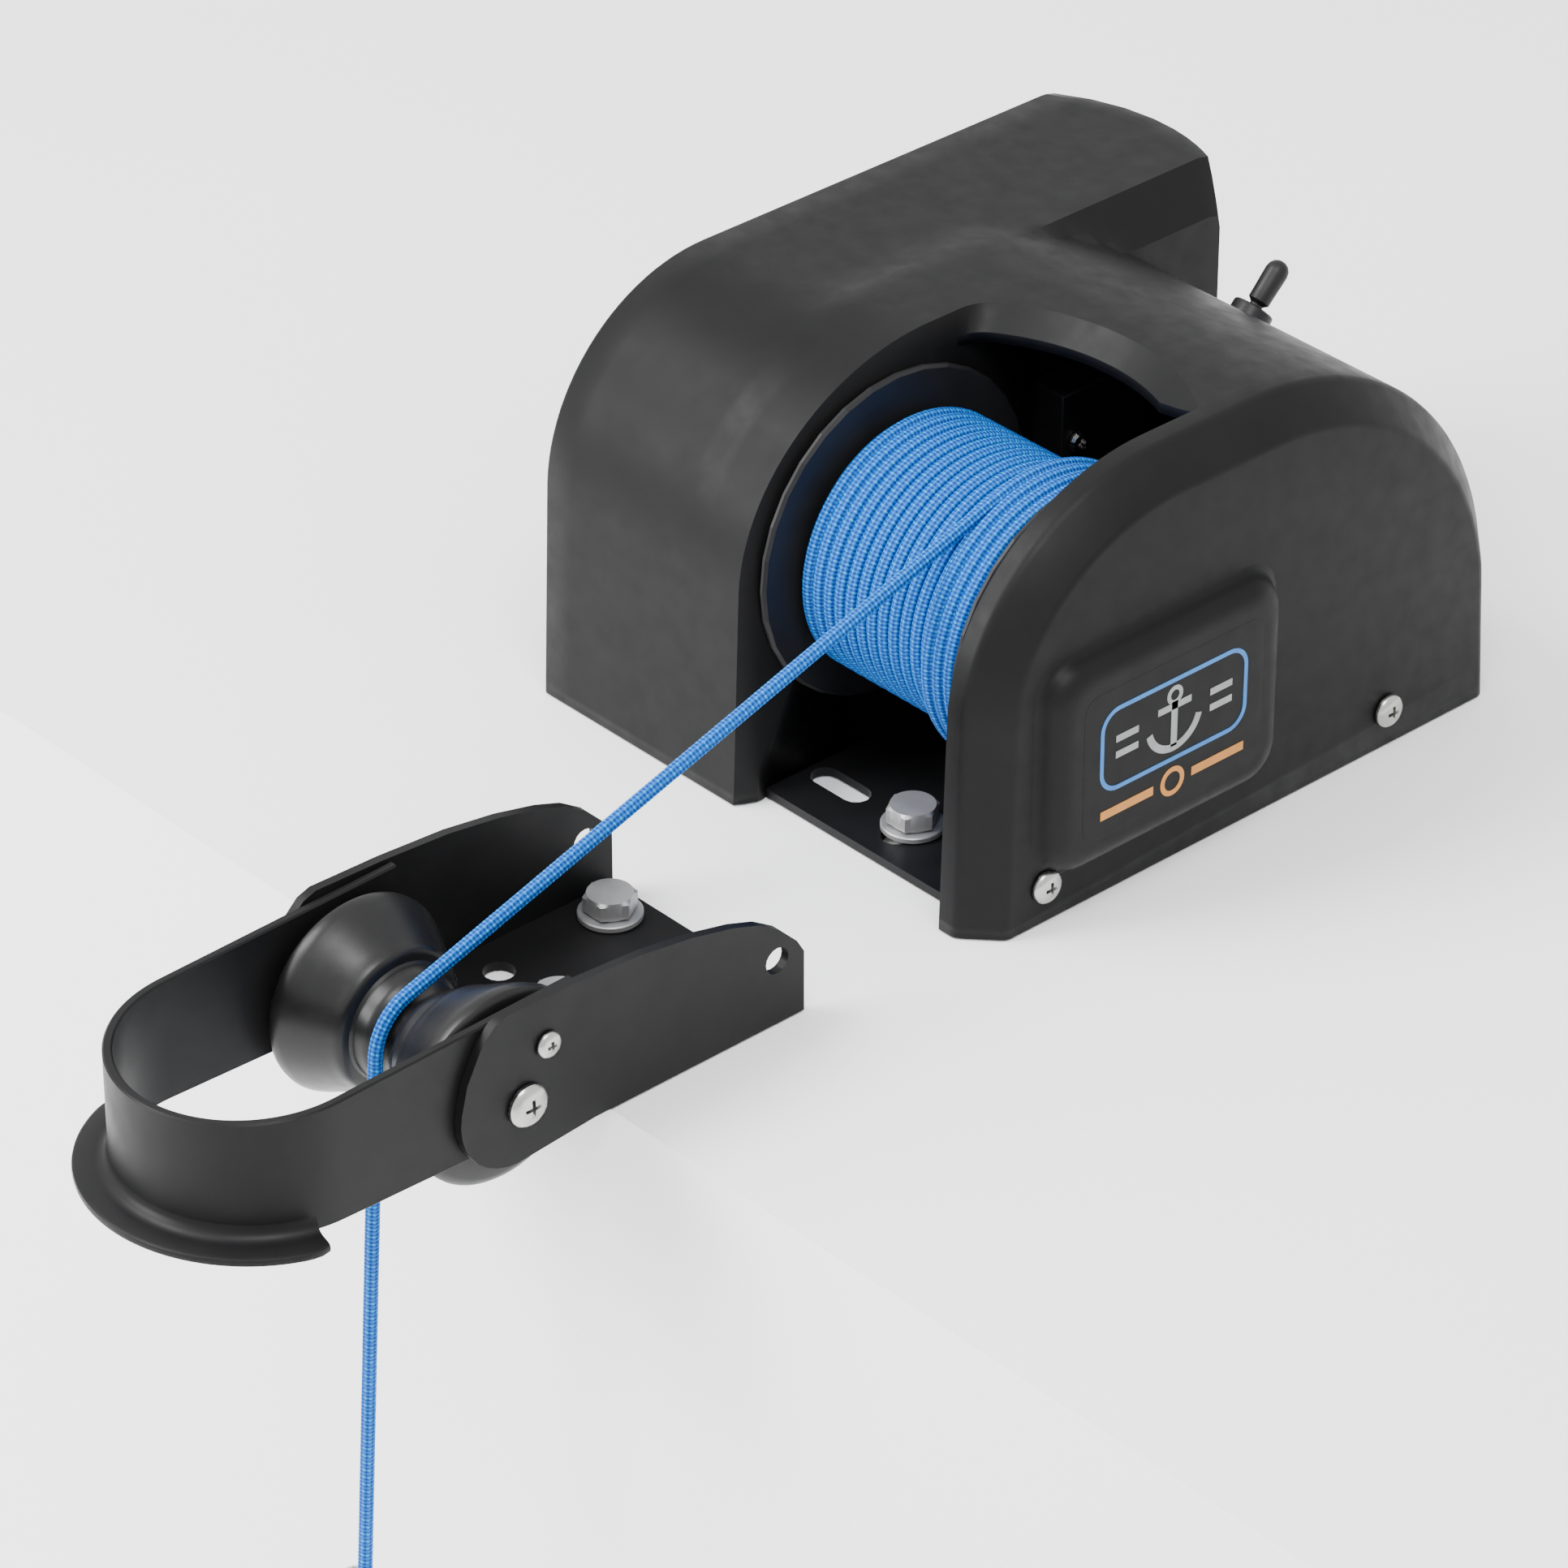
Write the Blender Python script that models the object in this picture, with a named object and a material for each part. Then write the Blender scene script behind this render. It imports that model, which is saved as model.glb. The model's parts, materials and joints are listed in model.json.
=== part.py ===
"""Electric anchor winch with a separate bow roller.

Lengths below are in millimetres and turned into metres when a mesh is made.
+Z is up, -Y points forward, from the winch to the bow roller, and the drum's axis is along X.
The origin is the middle of the winch's footprint, on the deck.
"""

from math import cos, pi, radians, sin, sqrt

import bmesh
import bpy
from mathutils import Matrix, Vector

MM = 0.001
GAP = 0.3
SHEET = 2.6

# Cover
COVER_LEFT = -120.0
COVER_RIGHT = 54.0
COVER_FRONT = -97.0
COVER_REAR = 100.0
COVER_WALL = 3.0
ARCH_WALL = 3.3
DRAFT = 2.0
LABEL_CHAMFER = 9.7

# Arch over the drum: front quarter ellipse, then a long rear arc
ARCH_TOP = 120.5
ARCH_FRONT_CENTRE = (-28.0, 62.0)
ARCH_REAR_CENTRE = (6.8, 29.0)
ARCH_REAR_SWEEP = radians(82)

# Tall housing over the motor
TALL_TOP = 118.5
TALL_REAR = 102.5
TALL_RIGHT = -52.0
TALL_CHAMFER = (10.0, 12.5)
TALL_FRONT_CENTRE = (-38.0, 62.0)
TALL_REAR_BULGE = 10.5

# Drum opening
OPENING_LEFT = -38.4
OPENING_RIGHT = 38.8
OPENING_REAR_CENTRE = -29.0
OPENING_REAR_DEPTH = 30.0
OPENING_POWER = 2.3
PARTITION_REAR = 8.0

# Raised panel on the right side
PANEL_Y = (-78.0, 6.0)
PANEL_Z = (14.0, 77.0)
PANEL_HEIGHT = 7.0
PANEL_SLOPE = 6.5
PANEL_CORNER = 10.0

# Screws through the cover's two sides, and the cable's grommet in its rear wall
SCREW_ROWS = {"front": -74.5, "rear": 52.8}
SCREW_HEIGHT = 11.3
GROMMET = (-84.8, 16.0)

# Drum
DRUM_AXIS = (-43.5, 65.5)
FLANGE_RADIUS = 47.5
FLANGE_THICKNESS = 2.4
DRUM_X = (-38.0, 36.6)
BARREL_RADIUS = 17.5
SHAFT_RADIUS = 6.0
ROPE_RADIUS = 2.05
WINDING_RADIUS = 37.5

# Gear train
MODULE = 1.5
FINAL_TEETH = 56
PINION_TEETH = 12
WHEEL_TEETH = 40
MOTOR_TEETH = 10
WHEEL_DIRECTION = radians(-21.2)
MOTOR_DIRECTION = radians(20.0)
FINAL_X = (-51.0, -45.0)
INTERMEDIATE_PINION_X = (-52.0, -44.8)
WHEEL_X = (-58.6, -52.3)
MOTOR_PINION_X = (-59.6, -52.5)
INNER_PLATE_X = -44.3
OUTER_PLATE_X = -63.4

# Motor
MOTOR_RADIUS = 27.0
MOTOR_X = (-106.0, -63.8)
MOTOR_CAP_X = -112.0

# Electrical box behind the drum
ELECTRICAL_X = (-41.2, -28.7)
ELECTRICAL_Y = (10.0, 42.0)
ELECTRICAL_Z = (48.0, 89.0)
ELECTRICAL_SCREW = (15.6, 73.4)

# Base plate
BASE_FRONT = -87.7
BASE_REAR = 84.0
BASE_FLANGE_HEIGHT = 20.0
SLOT_WIDTH = 8.4
SLOT_LENGTH = 20.5
SLOT_ROW = -71.8
SLOT_SPACING = 26.6
ANCHOR_BOLT = (1.5, -71.8)

# Hex bolts with plain washers
HEX_FLATS = 12.7
HEX_HEIGHT = 5.3
BOLT_SHANK = 3.9
WASHER_RADIUS = 8.7
WASHER_THICKNESS = 1.7

# Bow roller
BOW_CENTRE = 3.7
BOW_HALF = 38.3
BOW_REAR = -147.4
FLOOR_FRONT = -215.0
ROLLER_AXIS = (-239.9, 14.7)
ROLLER_HALF = 30.0
ROLLER_RIM = 27.5
GROOVE_RADIUS = 12.7
AXLE_RADIUS = 6.0
EAR_HOLE = (-156.6, 19.1)
BOW_BOLT = (-20.3, -158.4)
BOW_FRONT_BOLT = (4.8, -197.5)
BOW_SLOT_LENGTH = 26.0
BOW_HOLES_Y = (-158.4, -196.0)
BAND_SCREW = (-232.6, 29.3)

# Stirrup band
BAND_REAR = -221.2
BAND_CENTRE = -295.0
BAND_OUTER = 35.4
LIP_OUTER = 44.6
LIP_HALF_ANGLE = radians(77)
LIP_DROP = 1.5

# Toggle switch, square to the arch at this angle behind its crown
TOGGLE_X = -20.4
TOGGLE_TILT = radians(45)
TOGGLE_PIVOT_DEPTH = -1.0

# Rope route from the drum over the roller, and the pull of the anchor below
ROPE_ROUTE = [
    (15.5, -57.7, 102.8), (13.0, -94.5, 88.3), (10.5, -132.3, 73.5), (8.0, -170.1, 58.7),
    (5.5, -207.8, 43.9), (3.6, -236.1, 32.8), (3.0, -245.6, 29.1), (3.0, -249.0, 27.3),
    (3.0, -252.0, 24.5), (3.0, -254.2, 20.8), (3.0, -255.3, 16.7), (3.0, -255.6, 12.5),
    (3.0, -256.3, 0.0), (3.0, -258.2, -30.0), (3.0, -260.1, -60.0), (3.0, -262.0, -90.0),
    (3.0, -263.9, -120.0), (3.0, -265.2, -141.0),
]
ROPE_STEP = 6.5

SMALL_SEGMENTS = 16
ROUND_SEGMENTS = 32


def clear_scene():
    for item in list(bpy.data.objects):
        bpy.data.objects.remove(item, do_unlink=True)


def material(name, colour, roughness, metallic=0.0):
    found = bpy.data.materials.get(name)
    if found:
        return found
    made = bpy.data.materials.new(name)
    made.use_nodes = True
    shader = made.node_tree.nodes["Principled BSDF"]
    shader.inputs["Base Color"].default_value = (*colour, 1.0)
    shader.inputs["Roughness"].default_value = roughness
    shader.inputs["Metallic"].default_value = metallic
    return made


def black_plastic():
    return material("moulded_plastic", (0.030, 0.030, 0.032), 0.45)


def dark_plastic():
    return material("dark_plastic", (0.018, 0.018, 0.020), 0.5)


def painted_steel():
    return material("painted_steel", (0.028, 0.028, 0.030), 0.4, 0.2)


def zinc():
    return material("zinc", (0.42, 0.42, 0.43), 0.35, 1.0)


def stainless():
    return material("stainless", (0.70, 0.69, 0.67), 0.25, 1.0)


def steel():
    return material("steel", (0.50, 0.50, 0.52), 0.3, 1.0)


def bronze():
    return material("bronze", (0.55, 0.36, 0.16), 0.4, 1.0)


def copper():
    return material("copper", (0.75, 0.35, 0.18), 0.4, 1.0)


def rubber():
    return material("rubber", (0.015, 0.015, 0.015), 0.8)


def rope_fibre():
    return material("rope_fibre", (0.01, 0.22, 0.70), 0.6)


def badge_film():
    return material("badge_film", (0.05, 0.35, 0.70), 0.3)


def add_mesh(name, points, faces, finish, smooth=False):
    """Make an object from points in millimetres, with its faces turned outwards."""
    mesh = bpy.data.meshes.new(name)
    mesh.from_pydata([Vector(point) * MM for point in points], [], faces)
    work = bmesh.new()
    work.from_mesh(mesh)
    bmesh.ops.recalc_face_normals(work, faces=work.faces)
    work.to_mesh(mesh)
    work.free()
    if smooth:
        mesh.shade_smooth()
        mesh.set_sharp_from_angle(angle=radians(35))
    made = bpy.data.objects.new(name, mesh)
    bpy.context.collection.objects.link(made)
    mesh.materials.append(finish)
    return made


def set_origin(item, x, y, z):
    """Move an object's origin to a point in millimetres and leave its shape where it is."""
    place = Vector((x, y, z)) * MM
    item.data.transform(Matrix.Translation(-place))
    item.location = place


def hide_cutter(item):
    item.hide_render = True
    item.display_type = "WIRE"


def combine(item, other, operation):
    step = item.modifiers.new(operation.lower() + "_" + other.name, "BOOLEAN")
    step.operation = operation
    step.solver = "EXACT"
    step.object = other
    hide_cutter(other)


def cut(item, *cutters):
    for cutter in cutters:
        combine(item, cutter, "DIFFERENCE")


def join(item, *others):
    for other in others:
        combine(item, other, "UNION")


def loft(name, sections, finish, smooth=False):
    """Skin a row of closed sections that have the same number of points, and cap both ends."""
    count = len(sections[0])
    points = [point for section in sections for point in section]
    faces = []
    for row in range(len(sections) - 1):
        low = row * count
        for i in range(count):
            j = (i + 1) % count
            faces.append((low + i, low + j, low + count + j, low + count + i))
    faces.append(tuple(range(count)))
    faces.append(tuple(range(len(points) - count, len(points))))
    return add_mesh(name, points, faces, finish, smooth)


def prism_x(name, outline, x_range, finish):
    return loft(name, [[(x, y, z) for y, z in outline] for x in x_range], finish)


def prism_y(name, outline, y_range, finish):
    return loft(name, [[(x, y, z) for x, z in outline] for y in y_range], finish)


def prism_z(name, outline, z_range, finish):
    return loft(name, [[(x, y, z) for x, y in outline] for z in z_range], finish)


def box(name, x_range, y_range, z_range, finish):
    corners = [(x_range[0], y_range[0]), (x_range[1], y_range[0]),
               (x_range[1], y_range[1]), (x_range[0], y_range[1])]
    return prism_z(name, corners, z_range, finish)


def circle(centre, radius, count, start=0.0):
    turns = [start + 2 * pi * i / count for i in range(count)]
    return [(centre[0] + radius * cos(t), centre[1] + radius * sin(t)) for t in turns]


def arc(centre, radius, start, stop, count):
    turns = [start + (stop - start) * i / count for i in range(count + 1)]
    return [(centre[0] + radius * cos(t), centre[1] + radius * sin(t)) for t in turns]


def slot_outline(centre, length, width, along_y=False):
    """Oblong with round ends."""
    reach = (length - width) / 2
    right = arc((reach, 0.0), width / 2, -pi / 2, pi / 2, 6)
    left = arc((-reach, 0.0), width / 2, pi / 2, 3 * pi / 2, 6)
    points = right + left
    if along_y:
        points = [(-v, u) for u, v in points]
    return [(centre[0] + u, centre[1] + v) for u, v in points]


def rounded_box_outline(low, high, radius, count=4):
    points = []
    corners = [(high[0] - radius, high[1] - radius), (low[0] + radius, high[1] - radius),
               (low[0] + radius, low[1] + radius), (high[0] - radius, low[1] + radius)]
    for i, corner in enumerate(corners):
        points += arc(corner, radius, i * pi / 2, (i + 1) * pi / 2, count)
    return points


def turned(name, profile, finish, segments=SMALL_SEGMENTS, smooth=True):
    """Turn a closed (along, radius) profile about Z; a zero radius is a point on the axis."""
    points = []
    rings = []
    for along, radius in profile:
        if radius == 0:
            rings.append([len(points)] * segments)
            points.append((0.0, 0.0, along))
        else:
            rings.append(list(range(len(points), len(points) + segments)))
            points += [(u, v, along) for u, v in circle((0, 0), radius, segments)]
    faces = []
    for low, high in zip(rings, rings[1:] + rings[:1]):
        for i in range(segments):
            j = (i + 1) % segments
            corners = [low[i], low[j], high[j], high[i]]
            distinct = list(dict.fromkeys(corners))
            if len(distinct) > 2:
                faces.append(tuple(distinct))
    return add_mesh(name, points, faces, finish, smooth)


def aim(item, place, direction):
    """Stand a turned piece at a point in millimetres, with its axis along a direction."""
    item.location = Vector(place) * MM
    item.rotation_mode = "QUATERNION"
    item.rotation_quaternion = Vector(direction).to_track_quat("Z", "Y")
    return item


def rod(name, radius, x_range, centre, finish, segments=SMALL_SEGMENTS):
    """Plain round bar along X."""
    length = x_range[1] - x_range[0]
    made = turned(name, [(0, 0), (0, radius), (length, radius), (length, 0)], finish, segments)
    return aim(made, (x_range[0], *centre), (1, 0, 0))


def ring(name, inner, outer, x_range, centre, finish, segments=SMALL_SEGMENTS):
    length = x_range[1] - x_range[0]
    profile = [(0, inner), (0, outer), (length, outer), (length, inner)]
    return aim(turned(name, profile, finish, segments), (x_range[0], *centre), (1, 0, 0))


def bar(name, radius, start, stop, finish=None, segments=SMALL_SEGMENTS):
    """Round bar between two points, mostly used as a drill."""
    reach = Vector(stop) - Vector(start)
    profile = [(0, 0), (0, radius), (reach.length, radius), (reach.length, 0)]
    made = turned(name, profile, finish or painted_steel(), segments)
    return aim(made, start, reach)


# ---------------------------------------------------------------- cover

def arch_profile(inset, floor, share=1.0):
    """Side outline of the arch. A share below 1 leans towards the tall housing's front curve."""
    centre = [share * a + (1 - share) * b for a, b in zip(ARCH_FRONT_CENTRE, TALL_FRONT_CENTRE)]
    top = share * ARCH_TOP + (1 - share) * TALL_TOP - inset
    front = COVER_FRONT + DRAFT + inset
    points = [(COVER_FRONT + inset, floor), (front, centre[1])]
    for i in range(1, 11):
        turn = pi / 2 * i / 10
        rise = (top - centre[1]) * sin(turn)
        points.append((centre[0] - (centre[0] - front) * cos(turn), centre[1] + rise))
    radius = top - ARCH_REAR_CENTRE[1]
    for i in range(13):
        turn = ARCH_REAR_SWEEP * i / 12
        points.append((ARCH_REAR_CENTRE[0] + radius * sin(turn), ARCH_REAR_CENTRE[1] + radius * cos(turn)))
    points.append((COVER_REAR - inset, floor))
    return points


def tall_profile(x, inset, floor):
    """Side outline of the tall housing at one x, with the rear wall bowed in plan."""
    half = (TALL_RIGHT - COVER_LEFT) / 2
    middle = (TALL_RIGHT + COVER_LEFT) / 2
    bow = (half * half + TALL_REAR_BULGE ** 2) / (2 * TALL_REAR_BULGE)
    rear = TALL_REAR - (bow - sqrt(bow * bow - (x - middle) ** 2)) - inset
    past = max(0.0, x + inset - (TALL_RIGHT - TALL_CHAMFER[0])) / TALL_CHAMFER[0]
    top = TALL_TOP - inset - past * TALL_CHAMFER[1]
    front = COVER_FRONT + DRAFT + inset
    points = [(COVER_FRONT + inset, floor), (front, TALL_FRONT_CENTRE[1])]
    for i in range(1, 11):
        turn = pi / 2 * i / 10
        y = TALL_FRONT_CENTRE[0] - (TALL_FRONT_CENTRE[0] - front) * cos(turn)
        points.append((y, TALL_FRONT_CENTRE[1] + (top - TALL_FRONT_CENTRE[1]) * sin(turn)))
    points.append((rear, top))
    points.append((rear, floor))
    return points


def arch_outside():
    """The arch, starting inside the tall housing and blending out of its front curve."""
    sections = [(-62.0, 0.6, 0.0), (-52.5, -0.05, 0.45), (-41.0, 0.0, 1.0),
                (COVER_RIGHT - LABEL_CHAMFER, 0.0, 1.0), (COVER_RIGHT, LABEL_CHAMFER, 1.0)]
    outlines = [[(x, y, z) for y, z in arch_profile(inset, 0.0, share)] for x, inset, share in sections]
    return loft("cover", outlines, black_plastic(), smooth=True)


def arch_cavity():
    right = COVER_RIGHT - COVER_WALL
    sections = [(-57.0, 4.0), (-42.0, ARCH_WALL), (right - LABEL_CHAMFER, ARCH_WALL),
                (right, ARCH_WALL + LABEL_CHAMFER)]
    outlines = [[(x, y, z) for y, z in arch_profile(inset, -1.0)] for x, inset in sections]
    return loft("arch_cavity", outlines, black_plastic())


def tall_solid(name, inset, floor):
    low = COVER_LEFT + inset
    high = TALL_RIGHT - inset
    crest = TALL_RIGHT - TALL_CHAMFER[0] - inset
    stations = [low, low + 8, low + 20, (low + high) / 2, crest - 10, crest, high]
    outlines = [[(x, y, z) for y, z in tall_profile(x, inset, floor)] for x in stations]
    return loft(name, outlines, black_plastic(), smooth=True)


def opening_outline():
    """Plan of the drum opening: straight sides, and a rounded rear."""
    half = -OPENING_LEFT
    points = [(OPENING_LEFT, COVER_FRONT - 5), (OPENING_RIGHT, COVER_FRONT - 5)]
    for i in range(1, 20):
        turn = pi * i / 20
        x = half * abs(cos(turn)) ** (2 / OPENING_POWER) * (1 if cos(turn) > 0 else -1)
        points.append((x, OPENING_REAR_CENTRE + OPENING_REAR_DEPTH * sin(turn) ** (2 / OPENING_POWER)))
    return points


def partition(name, x_range):
    """Wall beside the drum, notched from below for the shaft."""
    outline = [(-93.5, 3.3), (-93.5, 62.0)]
    outline += [(y, z) for y, z in arch_profile(1.0, 0.0)[2:13]]
    outline += [(PARTITION_REAR, ARCH_TOP - 1.5), (PARTITION_REAR, 3.3)]
    wall = prism_x(name, outline, x_range, black_plastic())
    y = DRUM_AXIS[0]
    z = DRUM_AXIS[1]
    notch = [(y - 13, 0.0)] + arc((y, z), 13, pi, 0, 8) + [(y + 13, 0.0)]
    cut(wall, prism_x(name + "_notch", notch, (x_range[0] - 2, x_range[1] + 2), black_plastic()))
    return wall


def side_panel():
    """Raised panel with sloping sides on the label side."""
    low = (PANEL_Y[0], PANEL_Z[0])
    high = (PANEL_Y[1], PANEL_Z[1])
    sections = []
    for x, inset in ((COVER_RIGHT - 2, 0.0), (COVER_RIGHT + PANEL_HEIGHT - 2, PANEL_SLOPE - 2),
                     (COVER_RIGHT + PANEL_HEIGHT, PANEL_SLOPE)):
        shrunk = [v + inset for v in low], [v - inset for v in high]
        outline = rounded_box_outline(*shrunk, PANEL_CORNER - inset)
        sections.append([(x, y, z) for y, z in outline])
    return loft("side_panel_body", sections, black_plastic())


def toggle_point(depth):
    """A point on the toggle's own axis, at a height above the arch."""
    radius = ARCH_TOP - ARCH_REAR_CENTRE[1] + depth
    y, z = ARCH_REAR_CENTRE
    return (TOGGLE_X, y + radius * sin(TOGGLE_TILT), z + radius * cos(TOGGLE_TILT))


def cover_screw_places():
    """Point and outward direction of each cover screw."""
    return [(side, y) for side in (1, -1) for y in SCREW_ROWS.values()]


def screw_seat(side):
    return COVER_RIGHT if side > 0 else COVER_LEFT


def make_cover():
    cover = arch_outside()
    join(cover, tall_solid("tall_housing", 0.0, 0.0), side_panel())
    cut(cover, tall_solid("tall_cavity", COVER_WALL, -1.0))
    cut(cover, arch_cavity())
    join(cover, partition("left_partition", (OPENING_LEFT - COVER_WALL, OPENING_LEFT)))
    join(cover, partition("right_partition", (OPENING_RIGHT, OPENING_RIGHT + COVER_WALL)))
    cut(cover, prism_z("opening_cutter", opening_outline(), (-1.0, 140.0), black_plastic()))
    cut(cover, bar("toggle_hole", 6.3, toggle_point(-12), toggle_point(8)))
    for i, (side, y) in enumerate(cover_screw_places()):
        x = screw_seat(side)
        cut(cover, bar("cover_screw_hole_%d" % i, 2.7, (x - 6, y, SCREW_HEIGHT), (x + 6, y, SCREW_HEIGHT)))
    hole = bar("grommet_hole", 6.3, (GROMMET[0], 90, GROMMET[1]), (GROMMET[0], 110, GROMMET[1]))
    cut(cover, hole)


def make_badge():
    x = COVER_RIGHT + PANEL_HEIGHT + GAP
    inset = PANEL_SLOPE + 3.0
    low = (PANEL_Y[0] + inset, PANEL_Z[0] + inset)
    high = (PANEL_Y[1] - inset, PANEL_Z[1] - inset)
    prism_x("badge", rounded_box_outline(low, high, 5.0), (x, x + 0.5), badge_film())


# ---------------------------------------------------------------- base and fasteners

def make_base_plate():
    left = COVER_LEFT + COVER_WALL + GAP
    right = COVER_RIGHT - COVER_WALL - GAP
    front = BASE_FRONT + LABEL_CHAMFER
    outline = [(left, BASE_FRONT), (right - LABEL_CHAMFER, BASE_FRONT), (right, front), (right, BASE_REAR),
               (left, BASE_REAR)]
    plate = prism_z("base_plate", outline, (0, SHEET), painted_steel())
    for x_range in ((left, left + SHEET), (right - SHEET, right)):
        heights = (0.5, BASE_FLANGE_HEIGHT)
        flange = box("base_flange_%d" % x_range[0], x_range, (front, BASE_REAR - 1), heights,
                     painted_steel())
        join(plate, flange)
    holes = [slot_outline((side * SLOT_SPACING, SLOT_ROW), SLOT_LENGTH, SLOT_WIDTH) for side in (-1, 1)]
    holes.append(slot_outline(ANCHOR_BOLT, SLOT_LENGTH, SLOT_WIDTH, along_y=True))
    holes += [slot_outline((side * SLOT_SPACING, 70.0), SLOT_LENGTH, SLOT_WIDTH) for side in (-1, 1)]
    for i, hole in enumerate(holes):
        cut(plate, prism_z("base_slot_%d" % i, hole, (-2, 6), painted_steel()))
    for i, (side, y) in enumerate(cover_screw_places()):
        x = screw_seat(side)
        cut(plate, bar("flange_hole_%d" % i, 2.7, (x - 9, y, SCREW_HEIGHT), (x + 9, y, SCREW_HEIGHT)))


def make_bolt(name, place, seat):
    """Hex bolt with two flats square to X; its shank stops inside the plate."""
    x, y = place
    washer = turned(name + "_washer", [(0, 4.3), (0, WASHER_RADIUS), (WASHER_THICKNESS, WASHER_RADIUS),
                                       (WASHER_THICKNESS, 4.3)], zinc(), 24)
    washer.location = Vector((x, y, seat + GAP)) * MM
    low = seat + 2 * GAP + WASHER_THICKNESS
    corner = HEX_FLATS / 2 / cos(pi / 6)
    hexagon = circle((x, y), corner, 6, pi / 6)
    shrunk = circle((x, y), corner * 0.93, 6, pi / 6)
    levels = [(low, hexagon), (low + HEX_HEIGHT - 0.5, hexagon), (low + HEX_HEIGHT, shrunk)]
    sections = [[(u, v, z) for u, v in outline] for z, outline in levels]
    bolt = loft(name, sections, zinc())
    join(bolt, bar(name + "_shank", BOLT_SHANK, (x, y, GAP), (x, y, low + 2)))


def pan_screw(name, place, direction, head_radius, head_height, shank_radius, length):
    """Cross-recess pan-head screw whose head sits a small gap above the given point."""
    profile = [(-length, 0), (-length, shank_radius), (GAP, shank_radius), (GAP, head_radius),
               (head_height * 0.45, head_radius), (head_height * 0.8, head_radius * 0.8),
               (head_height, head_radius * 0.35), (head_height, 0)]
    screw = aim(turned(name, profile, stainless()), place, direction)
    arm = head_radius * 0.42
    for turn in (0, 1):
        size = (arm, 0.55) if turn else (0.55, arm)
        recess = box(name + "_recess_%d" % turn, (-size[0], size[0]), (-size[1], size[1]),
                     (head_height * 0.45, head_height + 2), stainless())
        aim(recess, place, direction)
        cut(screw, recess)


def make_cover_screws():
    for side, side_name in ((1, "right"), (-1, "left")):
        for row, y in SCREW_ROWS.items():
            name = "cover_screw_%s_%s" % (side_name, row)
            pan_screw(name, (screw_seat(side), y, SCREW_HEIGHT), (side, 0, 0), 4.8, 3.0, 2.4, 8.0)


# ---------------------------------------------------------------- drum and its bearings

def make_drum():
    hub = SHAFT_RADIUS + GAP
    left, right = DRUM_X
    rim = FLANGE_RADIUS
    soft = 0.8
    inside = (left + FLANGE_THICKNESS, right - FLANGE_THICKNESS)
    profile = [(left, hub), (left, rim - soft), (left + soft, rim), (inside[0] - soft, rim),
               (inside[0], rim - soft), (inside[0], BARREL_RADIUS), (inside[1], BARREL_RADIUS),
               (inside[1], rim - soft), (inside[1] + soft, rim), (right - soft, rim), (right, rim - soft),
               (right, hub)]
    aim(turned("drum", profile, dark_plastic(), ROUND_SEGMENTS), (0, *DRUM_AXIS), (1, 0, 0))
    first = inside[0] + GAP
    last = inside[1] - GAP
    inner = BARREL_RADIUS + GAP
    winding = [(first, inner), (first, WINDING_RADIUS), (last, WINDING_RADIUS), (last, inner)]
    aim(turned("rope_winding", winding, rope_fibre(), ROUND_SEGMENTS), (0, *DRUM_AXIS), (1, 0, 0))
    rod("drum_shaft", SHAFT_RADIUS, (-67.0, 49.2), DRUM_AXIS, steel(), 24)
    ring("shaft_clip", SHAFT_RADIUS + GAP, 9.5, (47.4, 48.6), DRUM_AXIS, steel())


def bush(name, x, centre):
    """Shaft bush with a collar on the +X side of its plate."""
    bore = SHAFT_RADIUS + GAP
    body = SHAFT_RADIUS + 3.0
    collar = SHAFT_RADIUS + 5.0
    profile = [(0, bore), (0, body), (3.3, body), (3.3, collar), (4.9, collar), (4.9, bore)]
    aim(turned(name, profile, bronze()), (x, *centre), (1, 0, 0))


def wheel_centre():
    reach = MODULE * (FINAL_TEETH + PINION_TEETH) / 2
    return (DRUM_AXIS[0] + reach * cos(WHEEL_DIRECTION), DRUM_AXIS[1] + reach * sin(WHEEL_DIRECTION))


def motor_centre():
    reach = MODULE * (WHEEL_TEETH + MOTOR_TEETH) / 2
    y, z = wheel_centre()
    return (y + reach * cos(MOTOR_DIRECTION), z + reach * sin(MOTOR_DIRECTION))


def angle_bracket(name, x, y_range, height, foot, finish):
    """Upright sheet with a foot bent along the deck; foot is its signed reach in x."""
    bend = SHEET + GAP
    side = SHEET if foot > 0 else -SHEET
    outline = [(x, bend), (x, height), (x + side, height), (x + side, bend + SHEET),
               (x + foot, bend + SHEET), (x + foot, bend)]
    return prism_y(name, outline, y_range, finish)


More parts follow.
